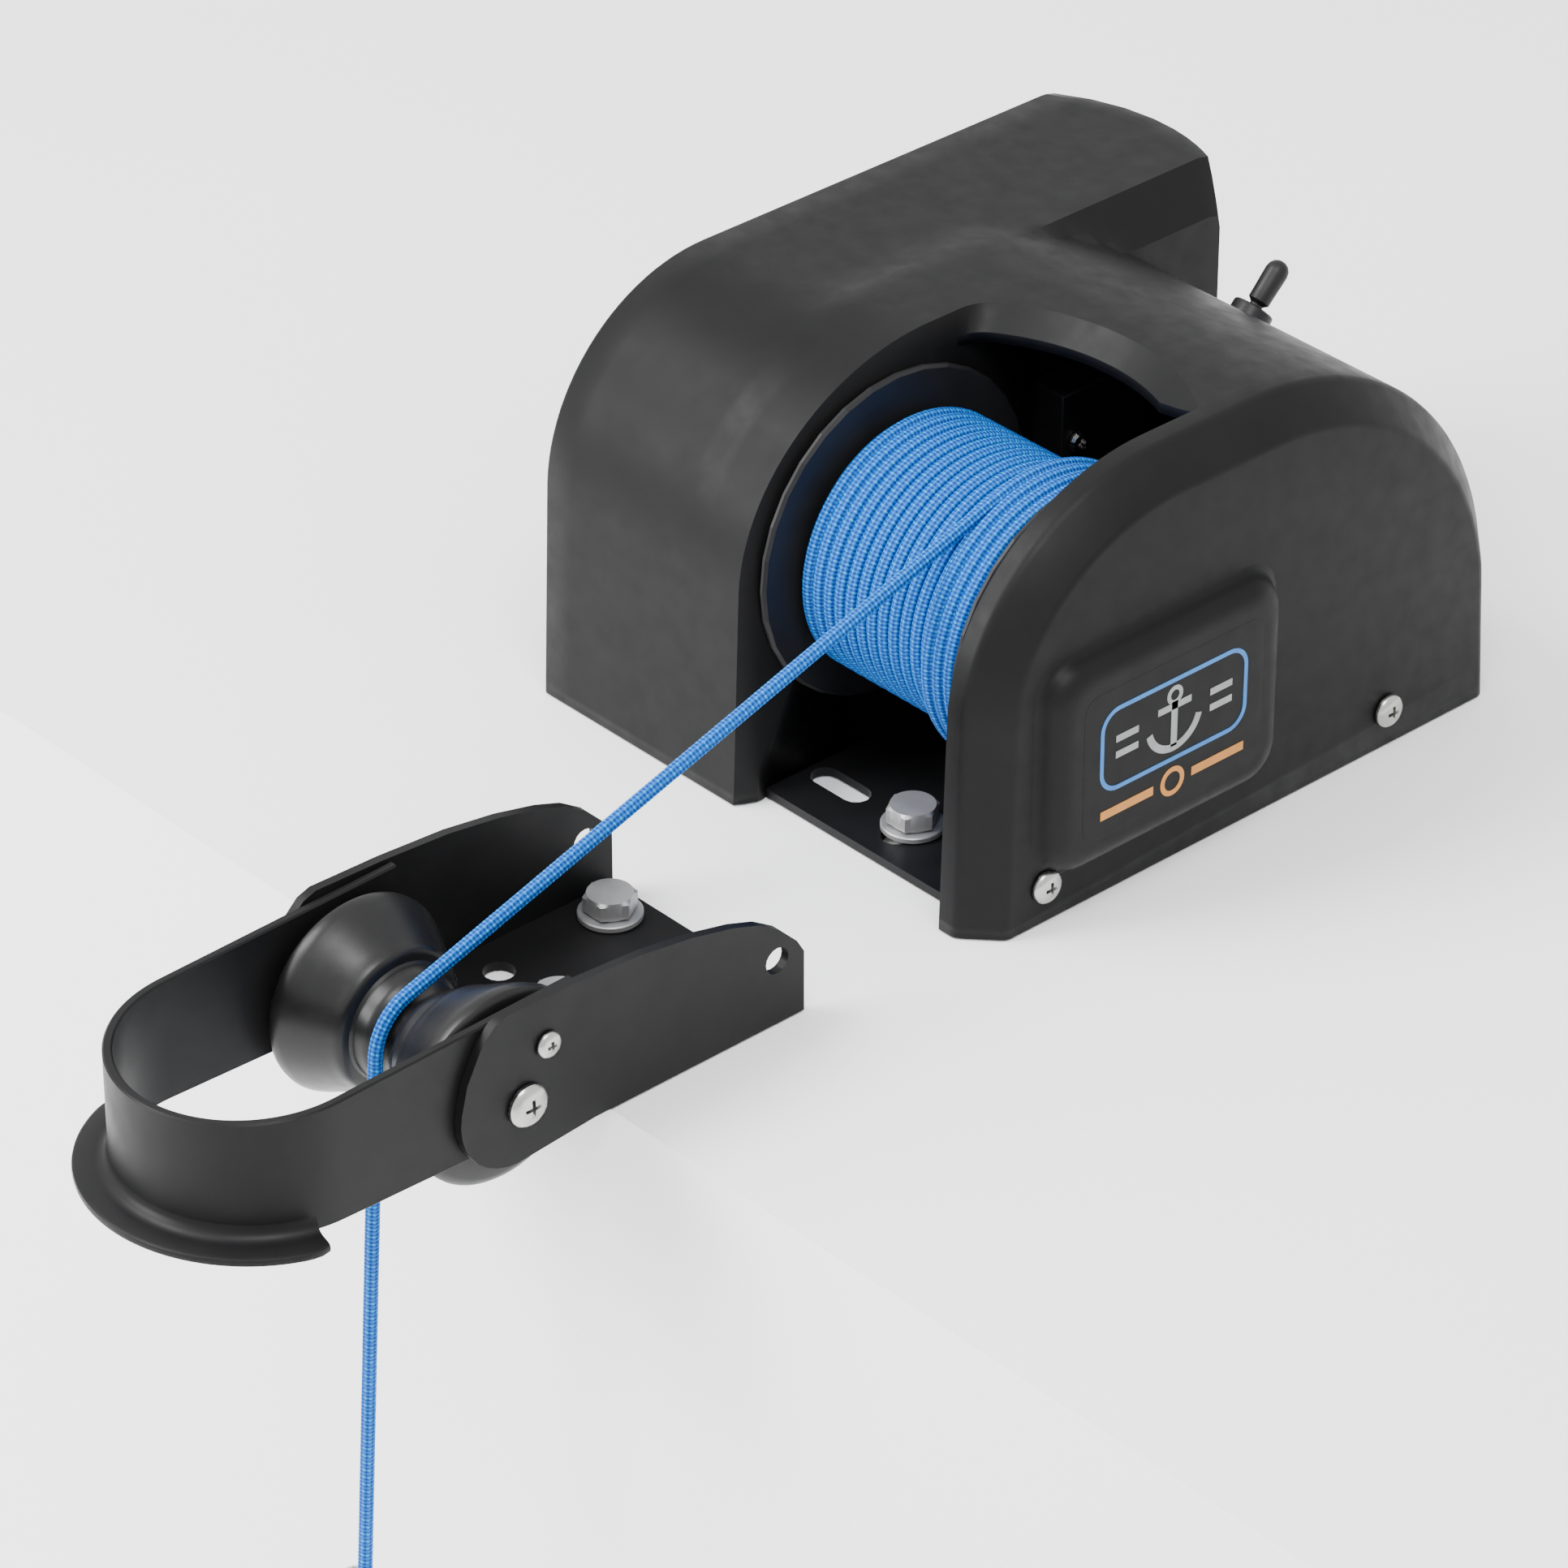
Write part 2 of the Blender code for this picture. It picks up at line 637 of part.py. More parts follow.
def make_gearbox_plates():
    """Both plates stand on the base plate, with their feet turned to the left."""
    inner = angle_bracket("gearbox_plate_inner", INNER_PLATE_X + 2.4, (-62, 66), 92, -11.5, painted_steel())
    outer = angle_bracket("gearbox_plate_outer", OUTER_PLATE_X + 2.4, (-62, 72), 96, -8.0, painted_steel())
    for plate, x in ((inner, INNER_PLATE_X), (outer, OUTER_PLATE_X)):
        name = plate.name
        cut(plate, bar(name + "_bore", SHAFT_RADIUS + 3.3, (x - 6, *DRUM_AXIS), (x + 8, *DRUM_AXIS)))
        cut(plate, bar(name + "_pin_hole", 4.3, (x - 6, *wheel_centre()), (x + 8, *wheel_centre())))
    clearance = [(OUTER_PLATE_X + offset, *motor_centre()) for offset in (-6, 8)]
    cut(outer, bar("pinion_clearance", 10.0, *clearance))
    ring("drum_bush_inner", SHAFT_RADIUS + GAP, SHAFT_RADIUS + 3.0, (-44.7, -41.6), DRUM_AXIS, bronze())
    bush("drum_bush_outer", -64.2, DRUM_AXIS)
    for i, centre in enumerate([(58.0, 22.0), (28.0, 87.0)]):
        span = (OUTER_PLATE_X + 2.7, INNER_PLATE_X - GAP - 0.2)
        rod("gearbox_spacer_%d" % (i + 1), 4.0, span, centre, steel())


def make_drum_bracket():
    bracket = angle_bracket("drum_bracket", 42.3, (-62, -22), 82, 5.4, painted_steel())
    cut(bracket, bar("drum_bracket_bore", SHAFT_RADIUS + 3.3, (38, *DRUM_AXIS), (50, *DRUM_AXIS)))
    bush("drum_bush_right", 42.0, DRUM_AXIS)


# ---------------------------------------------------------------- gears and motor

def gear(name, teeth, x_range, centre, phase, bore, finish):
    """Spur gear with straight-sided teeth; phase is the direction of one tooth's middle."""
    pitch = MODULE * teeth / 2
    tip = pitch + 0.8 * MODULE
    root = pitch - 1.15 * MODULE
    outline = []
    for i in range(teeth):
        middle = phase + 2 * pi * i / teeth
        for radius, share in ((root, -0.30), (tip, -0.11), (tip, 0.11), (root, 0.30)):
            turn = middle + share * 2 * pi / teeth
            outline.append((centre[0] + radius * cos(turn), centre[1] + radius * sin(turn)))
    made = prism_x(name, outline, x_range, finish)
    cut(made, bar(name + "_bore", bore, (x_range[0] - 1, *centre), (x_range[1] + 1, *centre)))
    set_origin(made, 0.0, *centre)
    return made


def make_gears():
    """The followed gear has a tooth on each line of centres, and its partner has a space there."""
    wheel = wheel_centre()
    motor = motor_centre()
    gear("final_gear", FINAL_TEETH, FINAL_X, DRUM_AXIS, WHEEL_DIRECTION, SHAFT_RADIUS + GAP, steel())
    space = pi / PINION_TEETH
    gear("intermediate_pinion", PINION_TEETH, INTERMEDIATE_PINION_X, wheel, WHEEL_DIRECTION + pi + space,
         4.3, steel())
    gear("intermediate_wheel", WHEEL_TEETH, WHEEL_X, wheel, MOTOR_DIRECTION, 4.3, steel())
    space = pi / MOTOR_TEETH
    gear("motor_pinion", MOTOR_TEETH, MOTOR_PINION_X, motor, MOTOR_DIRECTION + pi + space, 2.8, steel())
    rod("intermediate_pin", 4.0, (OUTER_PLATE_X - 1, INNER_PLATE_X + 2.5), wheel, steel())


def make_motor():
    centre = motor_centre()
    low, high = MOTOR_X
    length = high - low
    radius = MOTOR_RADIUS
    case = [(0, radius - 2.2), (0, radius), (length - 1.5, radius), (length, radius - 1.5), (length, 4.0),
            (length - 2.5, 4.0), (length - 2.5, radius - 2.2)]
    aim(turned("motor_case", case, painted_steel(), ROUND_SEGMENTS), (low, *centre), (1, 0, 0))
    depth = low - GAP - MOTOR_CAP_X
    cap = [(0, 0), (0, radius - 2), (2, radius), (depth, radius), (depth, radius - 4),
           (3, radius - 5), (3, 0)]
    aim(turned("motor_end_cap", cap, dark_plastic(), ROUND_SEGMENTS), (MOTOR_CAP_X, *centre), (1, 0, 0))
    rod("motor_shaft", 2.5, (-108.5, MOTOR_PINION_X[1]), centre, steel())
    ring("motor_armature", 2.8, 19.5, (-98.0, -70.0), centre, steel(), 24)
    ring("motor_commutator", 2.8, 8.0, (-106.5, -99.0), centre, copper())
    for side, name in ((1, "motor_magnet_front"), (-1, "motor_magnet_rear")):
        middle = 0.0 if side > 0 else pi
        outer = arc(centre, 24.4, middle - 1.1, middle + 1.1, 10)
        inner = arc(centre, 20.6, middle + 1.1, middle - 1.1, 10)
        prism_x(name, outer + inner, (-100.0, -70.0), dark_plastic())


# ---------------------------------------------------------------- electrical pieces

def make_electrical_box():
    """Box on a channel-shaped stand, with one screw in the face that looks at the drum."""
    left, right = ELECTRICAL_X
    low, high = ELECTRICAL_Z
    body = box("electrical_box", ELECTRICAL_X, ELECTRICAL_Y, ELECTRICAL_Z, dark_plastic())
    y, z = ELECTRICAL_SCREW
    cut(body, bar("box_screw_hole", 2.4, (right - 10, y, z), (right + 3, y, z)))
    shelf = low - GAP
    foot = SHEET + GAP
    outline = [(left, foot), (left, shelf), (right, shelf), (right, shelf - SHEET),
               (left + SHEET, shelf - SHEET),
               (left + SHEET, foot + SHEET), (right, foot + SHEET), (right, foot)]
    prism_y("electrical_box_stand", outline, (ELECTRICAL_Y[0] + 4, ELECTRICAL_Y[1] - 4), painted_steel())
    pan_screw("electrical_box_screw", (right, y, z), (1, 0, 0), 3.4, 2.2, 2.0, 8.0)


def make_toggle():
    direction = (0, sin(TOGGLE_TILT), cos(TOGGLE_TILT))
    profile = [(-8.0, 4.5), (-8.0, 6.0), (2.6, 6.0), (3.2, 5.4), (3.2, 4.5)]
    aim(turned("toggle_bushing", profile, dark_plastic(), 24), toggle_point(0), direction)
    nut = circle((0, 0), 8.6, 6)
    sections = [[(u, v, z) for u, v in nut] for z in (-7.6, -4.6)]
    toggle_nut = loft("toggle_nut", sections, zinc())
    aim(toggle_nut, toggle_point(0), direction)
    drill = turned("toggle_nut_bore", [(-9, 0), (-9, 6.3), (0, 6.3), (0, 0)], zinc())
    aim(drill, toggle_point(0), direction)
    cut(toggle_nut, drill)
    body = box("toggle_body", (-8, 8), (-13, 13), (-28.0, -8.3), dark_plastic())
    aim(body, toggle_point(0), direction)
    lever = [(-6.0, 0), (-6.0, 1.8), (4.2, 1.9), (5.2, 3.1), (15.5, 3.3), (17.4, 2.7), (18.5, 1.3), (18.8, 0)]
    shifted = [(along - TOGGLE_PIVOT_DEPTH, radius) for along, radius in lever]
    aim(turned("toggle_lever", shifted, rubber()), toggle_point(TOGGLE_PIVOT_DEPTH), direction)


def make_grommet():
    wall = TALL_REAR
    profile = [(0, 3.0), (0, 8.0), (1.4, 8.0), (1.7, 6.0), (6.0, 6.0), (6.0, 3.0)]
    grommet = turned("cable_grommet", profile, rubber())
    aim(grommet, (GROMMET[0], wall + GAP + 1.5, GROMMET[1]), (0, -1, 0))


# ---------------------------------------------------------------- bow roller

def ear_outline():
    """Side plate of the bow roller: low round nose about the axle, long crown, rounded tail."""
    nose = (ROLLER_AXIS[0] - 2.1, ROLLER_AXIS[1] + 1.8)
    points = [(BOW_REAR, 0.0), (BOW_REAR, 18.0), (-149.9, 22.2), (-155.9, 28.2), (-162.8, 32.6),
              (-171.3, 35.6), (-184.8, 38.8), (-201.5, 41.3), (-222.9, 42.7), (-244.8, 43.2),
              (-248.9, 41.8), (-253.1, 37.8), (-258.1, 28.2)]
    points += arc(nose, 18.4, radians(168), radians(268), 9)
    points.append((FLOOR_FRONT - 2.5, 0.0))
    return points


def make_channel():
    left = BOW_CENTRE - BOW_HALF
    right = BOW_CENTRE + BOW_HALF
    channel = prism_x("bow_channel", ear_outline(), (right - SHEET, right), painted_steel())
    join(channel, prism_x("left_ear", ear_outline(), (left, left + SHEET), painted_steel()))
    length = (FLOOR_FRONT, BOW_REAR - 0.001)
    floor = box("bow_floor", (left + 1, right - 1), length, (0, SHEET), painted_steel())
    join(channel, floor)
    for i, (y, z, radius) in enumerate([(*EAR_HOLE, 3.8), (*ROLLER_AXIS, 3.4), (*BAND_SCREW, 2.5)]):
        cut(channel, bar("ear_hole_%d" % i, radius, (left - 5, y, z), (right + 5, y, z)))
    reach = BOW_CENTRE - BOW_BOLT[0]
    for i, (side, y) in enumerate([(s, y) for s in (-1, 1) for y in BOW_HOLES_Y]):
        x = BOW_CENTRE + side * reach
        cut(channel, bar("floor_hole_%d" % i, 4.4, (x, y, -3), (x, y, 6)))
    slot = slot_outline(BOW_FRONT_BOLT, BOW_SLOT_LENGTH, SLOT_WIDTH)
    cut(channel, prism_z("floor_slot", slot, (-3, 6), painted_steel()))


def band_low(y):
    return 2.5 + (BAND_REAR - y) * 0.033


def band_high(y):
    return 41.8 - (BAND_REAR - y) * 0.024


def make_band():
    """Band bent round the front of the roller, with a lip turned out below its nose."""
    stations = [(1.0, BAND_REAR), (1.0, (BAND_REAR + BAND_CENTRE) / 2)]
    path = []
    for side, y in stations:
        path.append(((side, 0.0), y))
    turns = [pi * i / 20 for i in range(21)]
    path += [((cos(t), -sin(t)), BAND_CENTRE) for t in turns]
    path += [((-1.0, 0.0), y) for _, y in reversed(stations)]
    sections = []
    for (u, v), y in path:
        section = []
        for radius in (BAND_OUTER, BAND_OUTER - SHEET):
            section.append((BOW_CENTRE + u * radius, y + v * radius))
        (ox, oy), (ix, iy) = section
        low, high = band_low(oy), band_high(oy)
        sections.append([(ox, oy, low), (ox, oy, high), (ix, iy, high), (ix, iy, low)])
    band = loft("stirrup_band", sections, painted_steel(), smooth=True)
    lip = []
    for i in range(17):
        turn = -pi / 2 - LIP_HALF_ANGLE + 2 * LIP_HALF_ANGLE * i / 16
        row = []
        for radius in (BAND_OUTER - 1.3, LIP_OUTER):
            row.append((BOW_CENTRE + radius * cos(turn), BAND_CENTRE + radius * sin(turn)))
        (ix, iy), (ox, oy) = row
        inner = band_low(iy) - LIP_DROP + 0.1
        outer = inner - 0.6
        lip.append([(ix, iy, inner), (ox, oy, outer), (ox, oy, outer + SHEET), (ix, iy, inner + SHEET)])
    join(band, loft("stirrup_lip", lip, painted_steel()))
    left = BOW_CENTRE - BOW_HALF
    right = BOW_CENTRE + BOW_HALF
    for i, (y, z, radius) in enumerate([(*ROLLER_AXIS, 3.4), (*BAND_SCREW, 2.5)]):
        cut(band, bar("band_hole_%d" % i, radius, (left - 5, y, z), (right + 5, y, z)))


def make_roller():
    half = ROLLER_HALF
    bore = AXLE_RADIUS + GAP
    side = [(half, bore), (half, ROLLER_RIM - 1.5), (half - 1.5, ROLLER_RIM), (half - 4.0, ROLLER_RIM - 0.5),
            (13.5, 21.0), (10.5, 19.5), (9.2, 17.5), (8.6, 16.0), (5.5, 15.6), (3.4, 13.6),
            (1.5, GROOVE_RADIUS)]
    mirrored = [(-along, radius) for along, radius in reversed(side)]
    roller = turned("bow_roller", side + mirrored, dark_plastic(), ROUND_SEGMENTS)
    aim(roller, (BOW_CENTRE, *ROLLER_AXIS), (1, 0, 0))
    inner = BOW_HALF - 2 * SHEET - 2 * GAP - 0.2
    axle = rod("roller_axle", AXLE_RADIUS, (BOW_CENTRE - inner, BOW_CENTRE + inner), ROLLER_AXIS, steel(), 24)
    for side_name, sign in (("right", 1), ("left", -1)):
        end = BOW_CENTRE + sign * inner
        tap = bar("axle_tap_" + side_name, 3.4, (end - sign * 12, *ROLLER_AXIS),
                  (end + sign * 2, *ROLLER_AXIS))
        cut(axle, tap)
        outside = BOW_CENTRE + sign * BOW_HALF
        pan_screw("axle_screw_" + side_name, (outside, *ROLLER_AXIS), (sign, 0, 0), 5.9, 3.4, 3.0, 14.0)
        pan_screw("band_screw_" + side_name, (outside, *BAND_SCREW), (sign, 0, 0), 3.7, 2.3, 2.1, 5.6)


# ---------------------------------------------------------------- rope

def smooth_route(points, step):
    """Catmull-Rom curve through the route's points, read off at even steps."""
    before = Vector(points[0]) * 2 - Vector(points[1])
    after = Vector(points[-1]) * 2 - Vector(points[-2])
    ends = [before, *map(Vector, points), after]
    fine = []
    for a, b, c, d in zip(ends, ends[1:], ends[2:], ends[3:]):
        for i in range(24):
            t = i / 24
            square = (2 * a - 5 * b + 4 * c - d) * t * t
            cube = (3 * b - a - 3 * c + d) * t ** 3
            fine.append(0.5 * (2 * b + (c - a) * t + square + cube))
    fine.append(ends[-2])
    lengths = [0.0]
    for a, b in zip(fine, fine[1:]):
        lengths.append(lengths[-1] + (b - a).length)
    count = round(lengths[-1] / step)
    picked = []
    at = 0
    for i in range(count + 1):
        want = lengths[-1] * i / count
        while at < len(fine) - 2 and lengths[at + 1] < want:
            at += 1
        share = (want - lengths[at]) / max(lengths[at + 1] - lengths[at], 1e-9)
        picked.append(fine[at].lerp(fine[at + 1], share))
    return picked


def tube(name, points, radius, finish, closed=False):
    curve = bpy.data.curves.new(name, "CURVE")
    curve.dimensions = "3D"
    curve.bevel_depth = radius * MM
    curve.bevel_resolution = 2
    curve.use_fill_caps = not closed
    spline = curve.splines.new("POLY")
    spline.points.add(len(points) - 1)
    spline.use_cyclic_u = closed
    for target, point in zip(spline.points, points):
        target.co = (*(Vector(point) * MM), 1.0)
    curve.materials.append(finish)
    made = bpy.data.objects.new(name, curve)
    bpy.context.collection.objects.link(made)
    return made


def make_rope():
    tube("rope_run", smooth_route(ROPE_ROUTE, ROPE_STEP), ROPE_RADIUS, rope_fibre())
    end = Vector(ROPE_ROUTE[-1])
    down = (end - Vector(ROPE_ROUTE[-2])).normalized()
    minor = 2.3
    major = 7.0
    centre = end + down * (major + minor + GAP)
    across = Vector((1, 0, 0))
    loop = [centre + (across * cos(t) + down * sin(t)) * major for t in (2 * pi * i / 24 for i in range(24))]
    tube("rope_thimble", loop, minor, stainless(), closed=True)
    wide = Vector((0, 1, 0))
    wide = (wide - down * wide.dot(down)).normalized()
    bow = centre + down * (major + minor - 4.8)
    points = []
    for i in range(13):
        turn = pi * i / 12
        points.append(bow + wide * 7.0 * cos(turn) - down * 7.0 * sin(turn) + down * 4.5)
    points.append(points[-1] + down * 14.0)
    points.insert(0, points[0] + down * 14.0)
    tube("anchor_shackle", points, 2.2, stainless())
    pin = bow + down * (4.5 + 14.0 + 2.2 + GAP + 2.6)
    bar("shackle_pin", 2.6, pin - wide * 12.0, pin + wide * 12.0, stainless())


def build():
    clear_scene()
    make_cover()
    make_badge()
    make_base_plate()
    make_bolt("anchor_bolt", ANCHOR_BOLT, SHEET)
    make_bolt("bow_bolt_rear", BOW_BOLT, SHEET)
    make_bolt("bow_bolt_front", BOW_FRONT_BOLT, SHEET)
    make_cover_screws()
    make_drum()
    make_gearbox_plates()
    make_drum_bracket()
    make_gears()
    make_motor()
    make_electrical_box()
    make_toggle()
    make_grommet()
    make_channel()
    make_band()
    make_roller()
    make_rope()


build()
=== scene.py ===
"""Looks of the anchor winch and its bow roller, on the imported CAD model. Lengths in code are millimetres."""

import json
from math import atan2, cos, pi, radians, sin, sqrt

import bmesh
import bpy
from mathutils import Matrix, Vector


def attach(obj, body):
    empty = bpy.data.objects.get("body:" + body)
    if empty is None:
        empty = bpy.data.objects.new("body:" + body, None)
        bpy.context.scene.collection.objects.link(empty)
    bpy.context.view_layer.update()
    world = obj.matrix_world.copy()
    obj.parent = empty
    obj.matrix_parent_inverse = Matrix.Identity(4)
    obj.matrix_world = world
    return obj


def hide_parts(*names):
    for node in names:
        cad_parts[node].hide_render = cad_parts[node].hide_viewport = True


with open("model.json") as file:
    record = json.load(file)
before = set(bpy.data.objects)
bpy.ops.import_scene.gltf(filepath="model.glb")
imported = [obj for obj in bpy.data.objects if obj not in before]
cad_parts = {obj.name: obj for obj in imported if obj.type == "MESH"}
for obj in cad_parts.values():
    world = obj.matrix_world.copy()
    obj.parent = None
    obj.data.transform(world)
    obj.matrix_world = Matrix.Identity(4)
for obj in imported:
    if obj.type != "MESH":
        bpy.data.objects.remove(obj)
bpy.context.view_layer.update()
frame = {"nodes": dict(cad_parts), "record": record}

MM = 0.001
GAP = 0.3
SHEET = 2.6

# Camera
CAMERA_AT = (1.1237, -1.1344, 1.0077)
CAMERA_AIM = (-0.0400, -0.0800, 0.0)
CAMERA_LENS = 160.6

# Cover
COVER_LEFT = -118.8
COVER_RIGHT = 54.0
COVER_FRONT = -97.0
COVER_REAR = 100.0
COVER_SKIN = 2.6
DRAFT = 2.0
LABEL_CHAMFER = 9.7
ARCH_TOP = 120.5
ARCH_FRONT_CENTRE = (-28.0, 62.0)
ARCH_REAR_CENTRE = (6.8, 29.0)
ARCH_REAR_SWEEP = radians(82)
TALL_TOP = 118.5
TALL_REAR = 102.5
TALL_RIGHT = -52.0
TALL_CREST = -62.0
TALL_DROP = 12.5
TALL_FRONT_CENTRE = (-38.0, 62.0)
TALL_REAR_BULGE = 10.5
TALL_SOFT = 3.0
CORNER_SWEEP = radians(46)

# Points of one section of the skin, and the middle that its upper side is seen from
FRONT_POINTS = 48
CROWN_POINTS = 30
REAR_POINTS = 26
POLE = (8.0, 29.0)

# Drum opening: its outer rim on the skin, and its inner rim at the bottom of the bevel
RIM_OUT = (-41.2, 38.2)
RIM_IN = (-38.4, 37.5)
RIM_CENTRE = -60.0
RIM_RADIUS = (65.0, 59.0)
RIM_LEFT_CORNER = (13.0, 10.5)
RIM_RIGHT_CORNER = (4.0, 3.5)
RIM_DEPTH = 6.0
RIM_EDGE_DEPTH = 0.8
PARTITION_REAR = 8.0

# The walls beside the drum clear its shaft by a notch, and the base plate by a step
NOTCH = 13.0
PLATE_FRONT = -88.2
PLATE_TOP = 3.3

# Raised panel
PANEL_Y = (-78.0, 6.0)
PANEL_Z = (14.0, 77.0)
PANEL_STEPS = [
    (-1.0, -1.6), (0.0, -1.6), (0.3, -0.7), (0.9, -0.1), (1.9, 0.4), (3.2, 0.9), (4.4, 1.6), (5.4, 2.6),
    (6.2, 3.8), (6.75, 5.3), (7.0, 7.0),
]

# Badge: centre of its picture on the panel, and the thin layers of film and print
BADGE_CENTRE = (-36.0, 45.5)
BADGE_INSET = 9.6
FILM_X = (60.9, 61.04, 61.06)
PRINT_X = (61.04, 61.2)

# Drum and rope
DRUM_AXIS = (-43.5, 65.5)
WINDING_X = (-35.3, 33.9)
LOWER_ROPE = 35.7
UPPER_ROPE = 39.8
ROPE_RADIUS = 2.05
ROPE_PITCH = 4.12
BRAID_LENGTH = 9.0
ROPE_ROUTE = [
    (15.5, -57.7, 102.8), (13.0, -94.5, 88.3), (10.5, -132.3, 73.5), (8.0, -170.1, 58.7),
    (5.5, -207.8, 43.9), (3.6, -236.1, 32.8), (3.0, -245.6, 29.1), (3.0, -249.0, 27.3),
    (3.0, -252.0, 24.5), (3.0, -254.2, 20.8), (3.0, -255.3, 16.7), (3.0, -255.6, 12.5),
    (3.0, -256.3, 0.0), (3.0, -258.2, -30.0), (3.0, -260.1, -60.0), (3.0, -262.0, -90.0),
    (3.0, -263.9, -120.0), (3.0, -265.2, -141.0),
]

# Bow roller
BOW_CENTRE = 3.7
BOW_HALF = 38.3
ROLLER_AXIS = (-239.9, 14.7)
ROLLER_SIDE = [
    (30.0, 6.3), (30.0, 20.0), (29.9, 24.6), (29.3, 26.3), (28.2, 27.2), (26.6, 27.4), (24.6, 26.6),
    (22.0, 25.3), (18.0, 23.2), (14.5, 21.3), (12.6, 20.3), (11.4, 19.9), (10.6, 19.2), (10.2, 18.0),
    (9.9, 16.6), (9.2, 16.0), (6.0, 15.7), (4.6, 15.3), (3.4, 14.2), (2.3, 13.2), (1.0, 12.75), (0.0, 12.7),
]
BAND_REAR = -221.2
BAND_CENTRE = -295.0
BAND_OUTER = 35.4
LIP_OUTER = 44.6
LIP_HALF_ANGLE = radians(77)
LIP_DROP = 1.9
BAND_SCREW = (-232.6, 29.3)

# Hex bolts on the base plate and in the bow channel
HEX_FLATS = 12.7
WASHER_THICKNESS = 1.7
BOLTS = [("anchor_bolt", (1.5, -71.8)), ("bow_bolt_rear", (-20.3, -158.4)), ("bow_bolt_front", (4.8, -197.5))]

# Toggle switch, square to the arch at this angle behind its crown
TOGGLE_X = -20.4
TOGGLE_TILT = pi / 4

# Stage
DECK_FRONT = -212.0
DECK_TOP = -0.6
DECK_BOTTOM = -900.0
FLOOR_Z = -400.0
STAGE_REACH = 3000.0
STAGE_REAR = 3500.0

ROUND = 96


# ---------------------------------------------------------------- camera and stage

def make_camera():
    data = bpy.data.cameras.new("camera")
    data.lens = CAMERA_LENS
    data.sensor_width = 36.0
    data.clip_start = 0.05
    camera = bpy.data.objects.new("camera", data)
    camera.location = CAMERA_AT
    direction = Vector(CAMERA_AIM) - Vector(CAMERA_AT)
    camera.rotation_euler = direction.to_track_quat("-Z", "Y").to_euler()
    bpy.context.collection.objects.link(camera)
    bpy.context.scene.camera = camera


# ---------------------------------------------------------------- mesh helpers

def add_mesh(name, points, faces, smooth=True, angle=32.0):
    mesh = bpy.data.meshes.new(name)
    mesh.from_pydata([Vector(point) * MM for point in points], [], faces)
    mesh.validate()
    made = bpy.data.objects.new(name, mesh)
    bpy.context.collection.objects.link(made)
    if smooth:
        mesh.shade_smooth()
        mesh.set_sharp_from_angle(angle=radians(angle))
    return made


def face_outwards(item):
    work = bmesh.new()
    work.from_mesh(item.data)
    bmesh.ops.recalc_face_normals(work, faces=work.faces)
    work.to_mesh(item.data)
    work.free()
    item.data.set_sharp_from_angle(angle=radians(32))


def loft(name, sections, capped=True, closed=True, smooth=True):
    """Skin a row of sections that have the same number of points."""
    count = len(sections[0])
    points = [point for section in sections for point in section]
    faces = []
    for row in range(len(sections) - 1):
        low = row * count
        for i in range(count if closed else count - 1):
            j = (i + 1) % count
            faces.append((low + i, low + j, low + count + j, low + count + i))
    if capped:
        faces.append(tuple(range(count)))
        faces.append(tuple(range(len(points) - count, len(points))))
    made = add_mesh(name, points, faces, smooth)
    face_outwards(made)
    return made


def turned(name, profile, segments=ROUND):
    """Turn a closed (along, radius) profile about the piece's own Z; a zero radius is on the axis."""
    points = []
    rings = []
    for along, radius in profile:
        if radius == 0:
            rings.append([len(points)] * segments)
            points.append((0.0, 0.0, along))
            continue
        rings.append(list(range(len(points), len(points) + segments)))
        for i in range(segments):
            turn = 2 * pi * i / segments
            points.append((radius * cos(turn), radius * sin(turn), along))
    faces = []
    for low, high in zip(rings, rings[1:] + rings[:1]):
        for i in range(segments):
            j = (i + 1) % segments
            corners = list(dict.fromkeys([low[i], low[j], high[j], high[i]]))
            if len(corners) > 2:
                faces.append(tuple(corners))
    made = add_mesh(name, points, faces)
    face_outwards(made)
    return made


def aim(item, place, direction):
    item.location = Vector(place) * MM
    item.rotation_mode = "QUATERNION"
    item.rotation_quaternion = Vector(direction).to_track_quat("Z", "Y")
    return item


def rounded_outline(low, high, radius, count=8):
    points = []
    corners = [(high[0] - radius, high[1] - radius), (low[0] + radius, high[1] - radius),
               (low[0] + radius, low[1] + radius), (high[0] - radius, low[1] + radius)]
    for i, (u, v) in enumerate(corners):
        for k in range(count + 1):
            turn = (i + k / count) * pi / 2
            points.append((u + radius * cos(turn), v + radius * sin(turn)))
    return points


def finish_piece(item, body, nodes, finish):
    """Give a new piece its material, and let it stand for CAD nodes."""
    item.data.materials.clear()
    item.data.materials.append(finish)
    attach(item, body)
    if nodes:
        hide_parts(*nodes)
    return item


# ---------------------------------------------------------------- rope

def smooth_route(points, step):
    """Catmull-Rom curve through the route's points, read off at even steps."""
    first = Vector(points[0]) * 2 - Vector(points[1])
    last = Vector(points[-1]) * 2 - Vector(points[-2])
    ends = [first, *map(Vector, points), last]
    fine = []
    for a, b, c, d in zip(ends, ends[1:], ends[2:], ends[3:]):
        for i in range(24):
            t = i / 24
            quadratic = (2 * a - 5 * b + 4 * c - d) * t * t
            cubic = (3 * b - a - 3 * c + d) * t ** 3
            fine.append(0.5 * (2 * b + (c - a) * t + quadratic + cubic))
    fine.append(ends[-2])
    return even_points(fine, step)


def even_points(fine, step):
    length = sum((b - a).length for a, b in zip(fine, fine[1:]))
    return even_count(fine, round(length / step))


